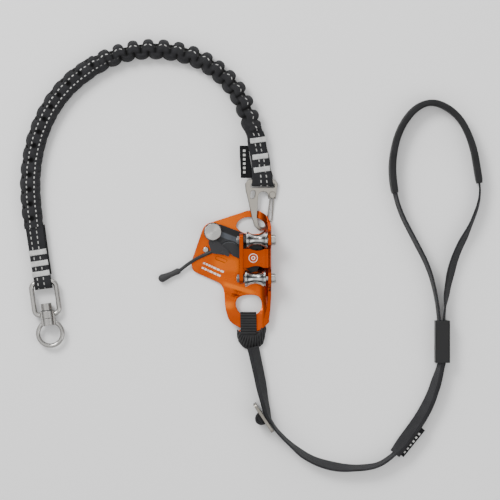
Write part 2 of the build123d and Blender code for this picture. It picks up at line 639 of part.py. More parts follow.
strap_upper_route = [(36.4, -78.0, BUCKLE_Z), (41.2, -99.0, BUCKLE_Z), (46.0, -124.0, BUCKLE_Z),
                     (49.7, -140.6, BUCKLE_Z)]
strap_upper = carry(strap_upper_route, lambda: Rectangle(WEB_WIDTH, 2 * WEB))
save(strap_upper, "strap_upper")

buckle_start = Vector(37.3, -132.4, 0)
buckle_along = Vector(0.548, -0.836, 0).normalized()
buckle_plane = Plane(origin=buckle_start, x_dir=buckle_along, z_dir=(buckle_along.Y, -buckle_along.X, 0))
SLOT_PLACES = (10.6, 22.2)      # centres of the adjuster's two slots along its length
with BuildPart() as strap_buckle:
    with BuildSketch(buckle_plane.offset(-BUCKLE / 2)):
        with Locations((16.8, BUCKLE_Z)):
            RectangleRounded(33.6, 22.2, 3.0)
        for place in SLOT_PLACES:
            with Locations((place, BUCKLE_Z)):
                RectangleRounded(5.0, 16.9, 1.2, mode=Mode.SUBTRACT)
    extrude(amount=BUCKLE)
save(strap_buckle.part, "strap_buckle")


def beside_buckle(along, out):
    """A point of the strap beside the adjuster: so far along it, so far out to the right."""
    place = buckle_start + buckle_along * along - buckle_plane.z_dir * out
    return (place.X, place.Y, BUCKLE_Z)


strap_wrap_route = [
    beside_buckle(SLOT_PLACES[0], 1.6), beside_buckle(SLOT_PLACES[0] + 0.3, -5.2), beside_buckle(16.4, -8.6),
    beside_buckle(SLOT_PLACES[1] - 0.3, -5.2), beside_buckle(SLOT_PLACES[1], 1.6),
]
strap_wrap = carry(strap_wrap_route, lambda: Rectangle(WEB_WIDTH, WEB))
save(strap_wrap, "strap_wrap")

strap_lower_route = [
    (50.3, -142.9, BUCKLE_Z), (55.6, -155.2, BUCKLE_Z), (71, -171.6, 10.6), (92, -188.6, 9.8), (119, -197.0, 9.4),
    (146, -197.6, STRAP_Z), (167, -193.2, STRAP_Z), (179, -181.6, STRAP_Z),
]
strap_lower = carry(strap_lower_route, lambda: Rectangle(WEB_WIDTH, WEB))
save(strap_lower, "strap_lower")

splice_route = [
    (179.6, -180.9, STRAP_Z), (192.6, -163.6, STRAP_Z), (208, -141.0, STRAP_Z), (218.6, -116.5, STRAP_Z),
    (224.7, -93.3, STRAP_Z),
]
strap_splice = carry(splice_route, lambda: Rectangle(WEB_WIDTH, 2.5 * WEB))
save(strap_splice, "strap_splice")

with BuildPart() as strap_tag:
    with BuildSketch(Plane.XY.offset(STRAP_Z - 4)):
        with BuildLine():
            Polyline((204.3, -153.1), (206.9, -157.1), (184.6, -185.2), (181.0, -183.0), close=True)
        make_face()
    extrude(amount=8)
    add(strap_splice, mode=Mode.SUBTRACT)
save(strap_tag.part, "strap_tag")

KEEPER_TOP = -49.6
KEEPER_BOTTOM = -91.6
with BuildPart() as keeper_sleeve:
    with BuildSketch(Plane.XZ.offset(-KEEPER_TOP)):
        with Locations((225.4, STRAP_Z)):
            RectangleRounded(14.8, 18.3, 3.0)
            Rectangle(10.2, 16.8, mode=Mode.SUBTRACT)
    extrude(amount=KEEPER_TOP - KEEPER_BOTTOM)
save(keeper_sleeve.part, "keeper_sleeve")

foot_loop_route = [
    (223.7, -92.1), (223.3, -62), (220.4, -30), (212.8, 2), (198.8, 29), (181.5, 62), (175.0, 94), (176.4, 120),
    (184, 145), (199.6, 165), (219, 170.4), (242.6, 155.8), (256, 128), (260.8, 101), (264.6, 75), (254.4, 46),
    (239.2, 18), (231.2, -12), (227.4, -44), (226.4, -68), (226.3, -92.1),
]
foot_loop_route = [(x, y, STRAP_Z) for x, y in foot_loop_route]
foot_loop = carry(foot_loop_route, lambda: Rectangle(WEB_WIDTH, WEB))
save(foot_loop, "foot_loop")


def midway(a, b):
    """The point half way between two."""
    return tuple((p + q) / 2 for p, q in zip(a, b))


def tube_section():
    """Section of the protective tube on the foot loop."""
    RectangleRounded(18.0, 6.6, 2.4)
    Rectangle(16.8, 2.8, mode=Mode.SUBTRACT)


tube_route = foot_loop_route[6:14]
tube_route.insert(0, midway(foot_loop_route[5], foot_loop_route[6]))
tube_route.append(midway(foot_loop_route[13], foot_loop_route[14]))
foot_loop_tube = carry(tube_route, tube_section, radii=corner_radii(foot_loop_route)[5:13])
save(foot_loop_tube, "foot_loop_tube")
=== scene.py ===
"""Rope grab on its lanyard and foot strap: the visual model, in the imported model's frame (metres)."""
import bpy
from math import acos, cos, exp, pi, radians, sin, sqrt
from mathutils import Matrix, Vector


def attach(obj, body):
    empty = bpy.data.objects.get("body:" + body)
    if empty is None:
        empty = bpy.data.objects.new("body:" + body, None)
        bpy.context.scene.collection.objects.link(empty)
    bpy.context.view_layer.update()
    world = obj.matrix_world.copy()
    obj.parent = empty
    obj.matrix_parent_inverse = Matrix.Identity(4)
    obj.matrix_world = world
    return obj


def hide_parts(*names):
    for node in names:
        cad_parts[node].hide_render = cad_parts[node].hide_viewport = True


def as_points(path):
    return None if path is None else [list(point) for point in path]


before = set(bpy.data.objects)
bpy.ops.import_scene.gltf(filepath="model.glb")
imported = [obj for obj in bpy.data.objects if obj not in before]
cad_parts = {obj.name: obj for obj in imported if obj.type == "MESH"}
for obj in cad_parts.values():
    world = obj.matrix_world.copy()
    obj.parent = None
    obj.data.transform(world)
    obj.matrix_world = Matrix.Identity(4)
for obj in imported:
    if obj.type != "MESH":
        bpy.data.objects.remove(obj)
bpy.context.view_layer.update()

MM = 0.001
BASE = "ascender"


# ------------------------------------------------------------------ camera and light
SENSOR = 36                     # mm
CAMERA_PLACE = (0.033, 0.021, 2.2)
MIDDLE_HEIGHT = 0.012           # the object's middle, where the picture is VIEW_WIDTH across
VIEW_WIDTH = 0.5


def add_camera():
    """A long lens straight above, since the photo shows next to no perspective."""
    data = bpy.data.cameras.new("camera")
    data.sensor_width = SENSOR
    data.sensor_fit = "HORIZONTAL"
    data.lens = SENSOR * (CAMERA_PLACE[2] - MIDDLE_HEIGHT) / VIEW_WIDTH
    data.clip_end = 20
    data.dof.use_dof = False
    obj = bpy.data.objects.new("camera", data)
    bpy.context.collection.objects.link(obj)
    obj.location = CAMERA_PLACE
    bpy.context.scene.camera = obj


def add_area(name, place, target, size, power):
    """A rectangular lamp at a place, turned to a target; size in metres, power in watts."""
    data = bpy.data.lights.new(name, "AREA")
    data.shape = "RECTANGLE"
    data.size, data.size_y = size
    data.energy = power
    obj = bpy.data.objects.new(name, data)
    bpy.context.collection.objects.link(obj)
    obj.location = place
    obj.rotation_euler = (Vector(target) - Vector(place)).to_track_quat("-Z", "Y").to_euler()


add_camera()
add_area("key", (-0.8, 1.0, 1.4), (0, 0, 0), (0.7, 0.7), 24)
add_area("fill", (1.2, -0.5, 1.2), (0.05, 0, 0), (0.8, 1.4), 6)
add_area("rim", (0.1, 1.6, 0.5), (0, 0, 0), (1.2, 0.4), 5)


def add_world():
    """A tent that is bright overhead and grey low down, with its left side lighter than its right."""
    world = bpy.data.worlds.new("studio")
    world.use_nodes = True
    tree = world.node_tree
    place = tree.nodes.new("ShaderNodeTexCoord")
    split = tree.nodes.new("ShaderNodeSeparateXYZ")
    height = tree.nodes.new("ShaderNodeMapRange")
    side = tree.nodes.new("ShaderNodeMapRange")
    total = tree.nodes.new("ShaderNodeMath")
    total.operation = "MULTIPLY"
    height.interpolation_type = "SMOOTHSTEP"
    tree.links.new(place.outputs["Generated"], split.inputs[0])
    tree.links.new(split.outputs[2], height.inputs[0])
    tree.links.new(split.outputs[0], side.inputs[0])
    for node, numbers in ((height, (0.25, 0.9, 0.30, 1.12)), (side, (-1.0, 1.0, 1.35, 0.65))):
        for socket, number in zip(list(node.inputs)[1:5], numbers):
            socket.default_value = number
    tree.links.new(height.outputs[0], total.inputs[0])
    tree.links.new(side.outputs[0], total.inputs[1])
    tree.links.new(total.outputs[0], tree.nodes["Background"].inputs[1])
    tree.nodes["Background"].inputs[0].default_value = (1, 1, 1, 1)
    bpy.context.scene.world = world


add_world()


# ------------------------------------------------------------------ node helpers
class Nodes:
    """A material's node tree, with short calls for the nodes that it needs."""

    def __init__(self, name):
        self.mat = bpy.data.materials.new(name)
        self.mat.use_nodes = True
        self.tree = self.mat.node_tree
        self.bsdf = self.tree.nodes["Principled BSDF"]

    def put(self, socket, value):
        if isinstance(value, bpy.types.NodeSocket):
            self.tree.links.new(value, socket)
        else:
            socket.default_value = value

    def math(self, op, *values):
        node = self.tree.nodes.new("ShaderNodeMath")
        node.operation = op
        for socket, value in zip(node.inputs, values):
            self.put(socket, value)
        return node.outputs[0]

    def mul(self, first, second):
        return self.math("MULTIPLY", first, second)

    def add(self, first, second):
        return self.math("ADD", first, second)

    def sub(self, first, second):
        return self.math("SUBTRACT", first, second)

    def max(self, first, second):
        return self.math("MAXIMUM", first, second)

    def abs(self, value):
        return self.math("ABSOLUTE", value)

    def step(self, value, low, high, out_low=0.0, out_high=1.0):
        node = self.tree.nodes.new("ShaderNodeMapRange")
        node.interpolation_type = "SMOOTHSTEP"
        for socket, number in zip(node.inputs, (value, low, high, out_low, out_high)):
            self.put(socket, number)
        return node.outputs[0]

    def coords(self, kind="Object"):
        return self.tree.nodes.new("ShaderNodeTexCoord").outputs[kind]

    def split(self, vector):
        node = self.tree.nodes.new("ShaderNodeSeparateXYZ")
        self.put(node.inputs[0], vector)
        return node.outputs

    def stretch(self, vector, scale):
        node = self.tree.nodes.new("ShaderNodeMapping")
        self.put(node.inputs["Vector"], vector)
        node.inputs["Scale"].default_value = scale
        return node.outputs[0]

    def noise(self, vector, scale, detail=3.0, rough=0.55):
        node = self.tree.nodes.new("ShaderNodeTexNoise")
        self.put(node.inputs["Vector"], vector)
        node.inputs["Scale"].default_value = scale
        node.inputs["Detail"].default_value = detail
        node.inputs["Roughness"].default_value = rough
        return node.outputs[0]

    def mix(self, share, first, second):
        node = self.tree.nodes.new("ShaderNodeMix")
        node.data_type = "RGBA"
        self.put(node.inputs["Factor"], share)
        for index, value in ((6, first), (7, second)):
            if not isinstance(value, bpy.types.NodeSocket):
                value = (*value, 1.0)
            self.put(node.inputs[index], value)
        return node.outputs[2]

    def bump(self, height, distance, strength=1.0, normal=None):
        node = self.tree.nodes.new("ShaderNodeBump")
        node.inputs["Strength"].default_value = strength
        node.inputs["Distance"].default_value = distance
        self.put(node.inputs["Height"], height)
        if normal is not None:
            self.put(node.inputs["Normal"], normal)
        return node.outputs[0]

    def bevel(self, radius):
        node = self.tree.nodes.new("ShaderNodeBevel")
        node.samples = 6
        node.inputs["Radius"].default_value = radius
        return node.outputs[0]

    def edge(self, rounded):
        """1 along sharp edges, from the angle between the rounded and the true normal."""
        true = self.tree.nodes.new("ShaderNodeNewGeometry").outputs["Normal"]
        dot = self.tree.nodes.new("ShaderNodeVectorMath")
        dot.operation = "DOT_PRODUCT"
        self.put(dot.inputs[0], rounded)
        self.put(dot.inputs[1], true)
        return self.step(dot.outputs["Value"], 0.995, 0.86)

    def facing(self):
        """The surface's direction, as x, y and z."""
        return self.split(self.tree.nodes.new("ShaderNodeNewGeometry").outputs["Normal"])

    def depth(self):
        """How deep the surface lies in its folds, in mm, as kept on the mesh."""
        node = self.tree.nodes.new("ShaderNodeAttribute")
        node.attribute_name = "depth"
        return node.outputs["Fac"]

    def set(self, **values):
        for name, value in values.items():
            self.put(self.bsdf.inputs[name.replace("_", " ")], value)
        return self.mat


def metal(name, colour, rough, grain=(1, 1, 1), grain_depth=0.00002, edge_shade=None, edge_radius=0.0004,
          spots=0.12, anisotropic=0.0, turned=None, side_shade=None, reflection_bands=None):
    """Metal with a directional grain, uneven polish and rounded edges.

    edge_shade is the colour of painted shade in patches along edges, side_shade that of painted shade on upright
    sides and reflection_bands that of painted dark reflection bands round a roller; turned is the axis of a lathe's
    marks.
    """
    n = Nodes(name)
    place = n.coords()
    clouds = n.noise(place, 45, 4)
    fine = n.noise(n.stretch(place, grain), 900, 2)
    rounded = n.bevel(edge_radius)
    dark = tuple(c * (1 - spots) for c in colour)
    shade = n.mix(n.step(clouds, 0.35, 0.68), dark, colour)
    # painted reflection: dark bands round the roller, set by which way its surface faces
    if reflection_bands:
        wave = n.math("COSINE", n.mul(n.add(n.facing()[1], 0.12), 9.5))
        shade = n.mix(n.step(wave, -0.8, 0.5), reflection_bands, shade)
    # painted shade: upright sides made darker
    if side_shade:
        shade = n.mix(n.step(n.abs(n.facing()[2]), 0.72, 0.1), shade, side_shade)
    # painted shade: darker patches along the edges
    if edge_shade:
        shaded_edge = n.mul(n.edge(rounded), n.step(n.noise(place, 160, 3), 0.38, 0.66))
        shade = n.mix(shaded_edge, shade, edge_shade)
    polish = n.add(n.mul(clouds, 0.6), n.mul(fine, 0.4))
    n.set(Base_Color=shade, Metallic=1.0, Roughness=n.step(polish, 0.3, 0.75, rough * 0.8, rough * 1.25),
          Normal=n.bump(fine, grain_depth, 0.6, rounded))
    n.bsdf.inputs["Anisotropic"].default_value = anisotropic
    if turned:
        tangent = n.tree.nodes.new("ShaderNodeTangent")
        tangent.direction_type = "RADIAL"
        tangent.axis = turned
        n.put(n.bsdf.inputs["Tangent"], tangent.outputs[0])
    return n.mat


def moulded(name, colour, rough, grain=0.00006, scale=1500, sheen=0.0):
    """Moulded plastic or rubber with a fine spark-eroded grain and scuffed edges."""
    n = Nodes(name)
    place = n.coords()
    fine = n.noise(place, scale, 2)
    cloud = n.noise(place, 70, 3)
    rounded = n.bevel(0.0004)
    light = tuple(c * 1.35 for c in colour)
    pale = tuple(min(1, c * 2.2 + 0.02) for c in colour)
    shade = n.mix(n.mul(n.edge(rounded), 0.55), n.mix(cloud, colour, light), pale)
    n.set(Base_Color=shade, Roughness=n.step(cloud, 0.3, 0.7, rough * 0.88, rough * 1.1),
          Normal=n.bump(fine, grain, 0.7, rounded))
    n.bsdf.inputs["Sheen Weight"].default_value = sheen
    n.bsdf.inputs["Specular IOR Level"].default_value = 0.35
    return n.mat


def anodised_plate():
    """Orange anodised aluminium with painted highlights on its bends and flats and painted shade on its wall, lip,
    lower eye, sides and edges.
    """
    n = Nodes("anodised_orange")
    place = n.coords()
    x, y, z = n.split(place)
    cloud = n.noise(place, 45, 4)
    soft = n.noise(place, 18, 2)
    rounded = n.bevel(0.0007)
    shade = n.mix(n.step(cloud, 0.35, 0.68), (0.57, 0.082, 0.005), (0.68, 0.105, 0.006))
    # painted highlights: bright bands at the bend, beside the lower eye, near the top and under the cam
    across = n.add(n.mul(x, 0.29), n.mul(y, 0.957))
    bend = n.step(n.abs(n.add(across, 0.0104)), 0.0034, 0.0006)
    bend = n.mul(bend, n.mul(n.step(x, 0.004, 0.010), n.step(x, 0.042, 0.032)))
    patch = n.step(n.abs(n.add(y, 0.0345)), 0.0055, 0.0012)
    patch = n.mul(patch, n.step(x, 0.020, 0.012))
    upper = n.mul(n.step(y, 0.034, 0.044), n.step(x, 0.034, 0.010))
    under = n.mul(n.step(n.abs(n.sub(y, 0.006)), 0.010, 0.003),
                   n.step(n.abs(n.sub(x, 0.010)), 0.018, 0.008))
    lit = n.max(n.max(bend, patch), n.mul(n.max(upper, under), 0.6))
    shade = n.mix(n.mul(lit, n.step(soft, 0.2, 0.6, 0.75, 1.0)), shade, (0.92, 0.19, 0.010))
    # painted shade: the wall, the lip and the lower eye made a deeper red
    lip = n.mul(n.step(z, 0.012, 0.017), 0.55)
    low = n.mul(n.step(y, -0.030, -0.050), 0.45)
    deep = n.max(n.mul(n.step(x, 0.040, 0.050), 0.7), n.max(lip, low))
    shade = n.mix(deep, shade, (0.34, 0.038, 0.006))
    # painted shade: upright faces darker
    upright = n.facing()[2]
    shade = n.mix(n.step(n.abs(upright), 0.72, 0.1, 0.0, 0.8), shade, (0.20, 0.02, 0.004))
    # painted shade: darker patches along the edges
    shaded_edge = n.mul(n.edge(rounded), n.step(n.noise(place, 160, 3), 0.30, 0.55))
    shade = n.mix(shaded_edge, shade, (0.16, 0.018, 0.002))
    n.set(Base_Color=shade, Metallic=1.0, Roughness=n.step(cloud, 0.3, 0.75, 0.2, 0.3),
          Normal=n.bump(n.noise(place, 900, 2), 0.000003, 0.6, rounded))
    return n.mat


def cam_coating():
    """Black coating on the cam, with a painted blue-grey highlight on the long chamfer under its upper edge and
    painted shade above it.
    """
    n = Nodes("cam_coating")
    place = n.coords()
    x, y, _ = n.split(place)
    across = n.add(n.mul(x, 0.359), n.mul(y, 0.933))
    cloud = n.noise(place, 120, 3)
    rounded = n.bevel(0.0007)
    shade = n.mix(cloud, (0.014, 0.0145, 0.016), (0.026, 0.027, 0.030))
    # painted highlight: the chamfer under the upper edge made blue grey
    chamfer_highlight = n.mul(n.step(across, 0.0328, 0.0337), n.step(across, 0.0388, 0.0379))
    chamfer_highlight = n.mul(chamfer_highlight, n.step(x, 0.0235, 0.018))
    shade = n.mix(n.mul(chamfer_highlight, n.step(cloud, 0.3, 0.6, 0.6, 1.0)), shade, (0.075, 0.085, 0.10))
    # painted shade: darker along the upper edge, above the chamfer
    shade = n.mix(n.step(across, 0.0385, 0.0391), shade, (0.006, 0.006, 0.007))
    shade = n.mix(n.mul(n.edge(rounded), n.step(cloud, 0.35, 0.6)), shade, (0.15, 0.16, 0.18))
    n.set(Base_Color=shade, Roughness=n.step(cloud, 0.3, 0.7, 0.3, 0.42),
          Normal=n.bump(n.noise(place, 1200, 2), 0.00001, 0.6, rounded))
    n.bsdf.inputs["Specular IOR Level"].default_value = 0.3
    return n.mat


TRACER = (0.50, 0.50, 0.48)      # colour of the stitched lines on flat webbing
TRACER_WIDTH = 0.0013
TRACER_DASH = 0.0052            # a stitch and its gap
TRACER_GAP = 0.4                # share of that which is gap


def woven(name, colour, pitch=0.0011, lines=(), depth=0.00025, crease_shade_depth=0.0):
    """Flat webbing. UV x runs along it and y across it, both in metres.

    lines are the places across of its stitched lines; crease_shade_depth is the depth in mm at which painted shade
    makes a crease black.
    """
    n = Nodes(name)
    along, across, _ = n.split(n.coords("UV"))
    rib = n.abs(n.math("SINE", n.mul(across, pi / pitch)))
    shift = n.mul(n.math("FLOOR", n.math("DIVIDE", across, pitch)), pi * 0.5)
    pick = n.abs(n.math("SINE", n.add(n.mul(along, pi / (pitch * 0.9)), shift)))
    weave = n.mul(n.math("POWER", rib, 0.7), n.add(n.mul(pick, 0.55), 0.45))
    fuzz = n.noise(n.coords(), 1400, 3)
    height = n.add(weave, n.mul(fuzz, 0.35))
    cloud = n.noise(n.coords(), 60, 3)
    # painted shade: darker in the hollows between yarns, lighter on their raised tops
    light = tuple(c * 1.75 for c in colour)
    shade = n.mix(n.mul(weave, n.step(cloud, 0.25, 0.75, 0.45, 1.0)), tuple(c * 0.45 for c in colour), light)
    if lines:
        mask = None
        beat = n.math("FRACT", n.math("DIVIDE", along, TRACER_DASH))
        lit = n.mul(n.step(beat, 0.0, 0.1), n.step(beat, 1 - TRACER_GAP, 0.9 - TRACER_GAP))
        for line in lines:
            off = n.abs(n.sub(across, line))
            one = n.mul(lit, n.step(off, TRACER_WIDTH * 0.5, TRACER_WIDTH * 0.3))
            mask = one if mask is None else n.max(mask, one)
        shade = n.mix(n.mul(mask, n.step(fuzz, 0.2, 0.6, 0.6, 1.0)), shade, TRACER)
    # painted shade: creases black by their depth
    if crease_shade_depth:
        shade = n.mix(n.step(n.depth(), 0.0, crease_shade_depth), shade, (0.003, 0.003, 0.003))
    n.set(Base_Color=shade, Roughness=n.step(cloud, 0.3, 0.7, 0.78, 0.92), Normal=n.bump(height, depth, 0.9))
    n.bsdf.inputs["Sheen Weight"].default_value = 0.07
    n.bsdf.inputs["Sheen Roughness"].default_value = 0.5
    n.bsdf.inputs["Specular IOR Level"].default_value = 0.12
    return n.mat


# ------------------------------------------------------------------ mesh helpers
def link(name, mesh, mat, body=BASE, smooth=True):
    obj = bpy.data.objects.new(name, mesh)
    bpy.context.collection.objects.link(obj)
    mesh.materials.append(mat)
    if smooth:
        for face in mesh.polygons:
            face.use_smooth = True
    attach(obj, body)
    return obj


def grid_mesh(name, rows, cols, place, uv):
    """A closed tube of rows by cols points, with a cap on each end."""
    verts = [tuple(place(i, j)) for i in range(rows) for j in range(cols)]
    faces, coords = [], []
    for i in range(rows - 1):
        for j in range(cols):
            k = (j + 1) % cols
            faces.append((i * cols + j, i * cols + k, (i + 1) * cols + k, (i + 1) * cols + j))
            coords += [uv(i, j), uv(i, j + 1), uv(i + 1, j + 1), uv(i + 1, j)]
    faces.append(tuple(reversed(range(cols))))
    coords += [uv(0, cols - 1 - j) for j in range(cols)]
    faces.append(tuple((rows - 1) * cols + j for j in range(cols)))
    coords += [uv(rows - 1, j) for j in range(cols)]
    mesh = bpy.data.meshes.new(name)
    mesh.from_pydata(verts, [], faces)
    layer = mesh.uv_layers.new(name="uv")
    for loop, pair in zip(layer.data, coords):
        loop.uv = pair
    mesh.update()
    return mesh


def shell_mesh(name, front, back, cols, uv, flip=False):
    """A closed mesh between two grids of points, cols to a row; uv gives a point's place on the webbing.

    flip turns the faces of both grids the other way.
    """
    count = len(front)
    rows = count // cols
    faces = []
    for i in range(rows - 1):
        for j in range(cols - 1):
            k = i * cols + j
            quad = (k, k + cols, k + cols + 1, k + 1)
            turned = (k, k + 1, k + cols + 1, k + cols)
            near, far = (turned, quad) if flip else (quad, turned)
            faces.append(near)
            faces.append(tuple(count + k for k in far))
    last = (rows - 1) * cols
    rim = [i * cols for i in range(rows - 1)] + [last + j for j in range(cols - 1)]
    rim += [i * cols + cols - 1 for i in range(rows - 1, 0, -1)] + list(range(cols - 1, 0, -1))
    for p, q in zip(rim, rim[1:] + rim[:1]):
        faces.append((p, count + p, count + q, q))
    mesh = bpy.data.meshes.new(name)
    mesh.from_pydata(front + back, [], faces)
    layer = mesh.uv_layers.new(name="uv")
    for corner in mesh.loops:
        layer.data[corner.index].uv = uv(*divmod(corner.vertex_index % count, cols))
    mesh.update()
    return mesh


def keep_depth(mesh, values):
    """Keep each vertex's depth in its fold, in mm, for the painted shade in the creases."""
    layer = mesh.attributes.new("depth", "FLOAT", "POINT")
    for item, value in zip(layer.data, values):
        item.value = value


def spline_path(points, step):
    """Points on the NURBS spline of a route given in millimetres, evenly spaced, in metres."""
    data = bpy.data.curves.new("route", "CURVE")
    data.dimensions = "3D"
    data.resolution_u = 24
    spline = data.splines.new("NURBS")
    spline.points.add(len(points) - 1)
    for knot, (x, y, z) in zip(spline.points, points):
        knot.co = (x * MM, y * MM, z * MM, 1)
    spline.order_u = 3
    spline.use_endpoint_u = True
    obj = bpy.data.objects.new("route", data)
    bpy.context.collection.objects.link(obj)
    mesh = bpy.data.meshes.new_from_object(obj)
    line = [vert.co.copy() for vert in mesh.vertices]
    bpy.data.objects.remove(obj)
    bpy.data.curves.remove(data)
    bpy.data.meshes.remove(mesh)
    lengths = [0.0]
    for a, b in zip(line, line[1:]):
        lengths.append(lengths[-1] + (b - a).length)
    count = max(8, round(lengths[-1] / step))
    path, at = [], 0
    for k in range(count + 1):
        want = lengths[-1] * k / count
        while at < len(line) - 2 and lengths[at + 1] < want:
            at += 1
        span = max(1e-9, lengths[at + 1] - lengths[at])
        path.append(line[at].lerp(line[at + 1], min(1, (want - lengths[at]) / span)))
    return path, lengths[-1]


def frames_of(path):
    """For each point: the way along, the way to the right, and up."""
    out = []
    for k, here in enumerate(path):
        along = (path[min(k + 1, len(path) - 1)] - path[max(k - 1, 0)]).normalized()
        right = Vector((along.y, -along.x, 0)).normalized()
        out.append((here, along, right, right.cross(along)))
    return out


def blend_table(table, at):
    """A value read between the (place, value) pairs of a table, eased from one to the next."""
    if at <= table[0][0]:
        return table[0][1]
    for (a, p), (b, q) in zip(table, table[1:]):
        if at <= b:
            t = (at - a) / (b - a)
            t = t * t * (3 - 2 * t)
            return p + (q - p) * t
    return table[-1][1]


def strap_profile(width, thick, corner):
    """Outline of a strap's section: (place across, place through), with rounded edges."""
    half, deep = width / 2, thick / 2
    corner = min(corner, deep)
    across = 14
    top = [(half - corner - (width - 2 * corner) * j / across, deep) for j in range(across + 1)]
    left = [
        (-half + corner - corner * sin(a), deep - corner + corner * cos(a))
        for a in (pi / 6, pi / 3, pi / 2)
    ]
    left += [
        (-half + corner - corner * cos(a), -deep + corner - corner * sin(a))
        for a in (0.001, pi / 6, pi / 3)
    ]
    bottom = [(-x, -y) for x, y in top]
    right = [(-x, -y) for x, y in left]
    return top + left + bottom + right


def ribbon(name, points, width, thick, tilt, mat, step=1.2, corner=0.8, swell=None, ripple=0.0):
    """A strap standing on its edge along a route in millimetres, leaning by tilt degrees to the right.

    tilt is a table of (share of the length, degrees); swell scales the thickness along it.
    """
    path, length = spline_path(points, step * MM)
    stations = frames_of(path)
    outline = strap_profile(width, thick, corner)
    cols = len(outline)
    girth = [0.0]
    for a, b in zip(outline, outline[1:] + outline[:1]):
        girth.append(girth[-1] + sqrt((a[0] - b[0]) ** 2 + (a[1] - b[1]) ** 2))

    def place(i, j):
        here, _, right, up = stations[i]
        share = i / (len(stations) - 1)
        lean = radians(blend_table(tilt, share))
        a, t = outline[j]
        t *= blend_table(swell, share) if swell else 1
        t += ripple * sin(share * length / MM / 11.0) * (a / width)
        broad = up * cos(lean) + right * sin(lean)
        face = right * cos(lean) - up * sin(lean)
        return here + broad * (a * MM) + face * (t * MM)

    def uv(i, j):
        return (length * i / (len(stations) - 1), (girth[j % cols] if j < cols else girth[-1]) * MM)

    mesh = grid_mesh(name, len(stations), cols, place, uv)
    obj = link(name, mesh, mat)
    return obj, path, length


# ------------------------------------------------------------------ routes, as in the CAD model (mm)
LANYARD = [
    (36.4, 140.2, 13.3), (29.8, 162.8, 11.6), (14.8, 189.2, 9.9), (-16, 213.5, 9.7), (-54, 223, 9.6),
    (-92, 220.5, 9.6), (-127, 205, 9.6), (-157, 179.8, 9.6), (-177, 146, 9.6), (-186.5, 109, 9.6),
    (-187.5, 72, 9.6), (-183.3, 43.2, 9.6),
]
UPPER = [(36.4, -78.0, 11.2), (41.2, -99.0, 11.2), (46.0, -124.0, 11.2), (49.7, -140.6, 11.2)]
LOWER = [
    (50.3, -142.9, 11.2), (55.6, -155.2, 11.2), (71, -171.6, 10.6), (92, -188.6, 9.8), (119, -197.0, 9.4),
    (146, -197.6, 9.2), (167, -193.2, 9.2), (179, -181.6, 9.2),
]
SPLICE = [
    (179.6, -180.9, 9.2), (192.6, -163.6, 9.2), (208, -141.0, 9.2), (218.6, -116.5, 9.2), (224.7, -93.3, 9.2),
]
LOOP = [
    (223.7, -92.1), (223.3, -62), (220.4, -30), (212.8, 2), (198.8, 29), (181.5, 62), (175.0, 94), (176.4, 120),
    (184, 145), (199.6, 165), (219, 170.4), (242.6, 155.8), (256, 128), (260.8, 101), (264.6, 75), (254.4, 46),
    (239.2, 18), (231.2, -12), (227.4, -44), (226.4, -68), (226.3, -92.1),
]
LOOP = [(x, y, 9.2) for x, y in LOOP]

# ------------------------------------------------------------------ materials
orange = anodised_plate()
steel_axle = metal("turned_steel", (0.50, 0.49, 0.47), 0.24, grain_depth=0.000006, anisotropic=0.85, turned="Z")
steel_dull = metal("dull_steel", (0.22, 0.22, 0.22), 0.34)
# painted reflection: dark bands round the roller
steel_roller = metal("polished_roller", (0.62, 0.62, 0.61), 0.2, grain_depth=0.0000008, spots=0.05, anisotropic=0.9,
                     turned="X", reflection_bands=(0.10, 0.10, 0.10))
# painted shade: bolt, hook, wire and swivel steel darker on upright sides, hook and swivel also along edges
steel_bolt = metal("bolt_steel", (0.52, 0.51, 0.49), 0.2, grain_depth=0.000003, spots=0.1,
                   side_shade=(0.14, 0.135, 0.13))
spacer_dark = metal("spacer_steel", (0.07, 0.07, 0.07), 0.4)
spring = metal("spring_wire", (0.20, 0.20, 0.20), 0.35)
bronze = metal("bush_bronze", (0.50, 0.33, 0.14), 0.38)
hook_steel = metal("hook_steel", (0.31, 0.29, 0.255), 0.3, grain=(14, 0.6, 0.6), grain_depth=0.00001, spots=0.16,
                   side_shade=(0.08, 0.075, 0.065),
                   edge_shade=(0.10, 0.095, 0.085), edge_radius=0.0009)
hook_wire = metal("hook_wire", (0.30, 0.285, 0.26), 0.26, grain_depth=0.000004, side_shade=(0.06, 0.057, 0.05))
swivel_steel = metal("swivel_steel", (0.50, 0.49, 0.47), 0.2, grain_depth=0.000006, spots=0.2, edge_shade=(0.2, 0.2, 0.19),
                     side_shade=(0.09, 0.088, 0.08))
cam_black = cam_coating()
trigger_black = moulded("trigger_nylon", (0.016, 0.016, 0.018), 0.36, grain=0.00002)
cable_black = moulded("cable_cover", (0.018, 0.018, 0.019), 0.5, grain=0.00003, scale=900)
knob_black = moulded("knob_rubber", (0.026, 0.026, 0.027), 0.62, grain=0.00006, scale=700, sheen=0.05)
keeper_black = moulded("keeper_sleeve", (0.006, 0.006, 0.0065), 0.5, scale=600)

NODE_MATERIALS = {
    "frame_plate": orange, "cam": cam_black, "cam_axle": steel_axle, "cam_washer": steel_dull, "cam_spring": spring,
    "cam_stop_pin": steel_bolt, "trigger": trigger_black, "trigger_pin": trigger_black, "trigger_spring": spring,
    "trigger_cable": cable_black, "trigger_knob": knob_black, "upper_roller": steel_roller,
    "lower_roller": steel_roller, "upper_roller_bush": bronze, "lower_roller_bush": bronze,
    "roller_bolts": steel_bolt, "roller_nuts": steel_dull, "roller_spacers": spacer_dark, "hook_body": hook_steel,
    "hook_gate": hook_wire, "hook_gate_rivet": hook_steel, "swivel_yoke": swivel_steel, "swivel_ring": swivel_steel,
    "swivel_nut": swivel_steel, "swivel_washer": steel_dull, "strap_buckle": hook_steel,
    "keeper_sleeve": keeper_black, "lanyard_core": knob_black,
}
for node, mat in NODE_MATERIALS.items():
    for material_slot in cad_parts[node].material_slots:
        material_slot.material = mat

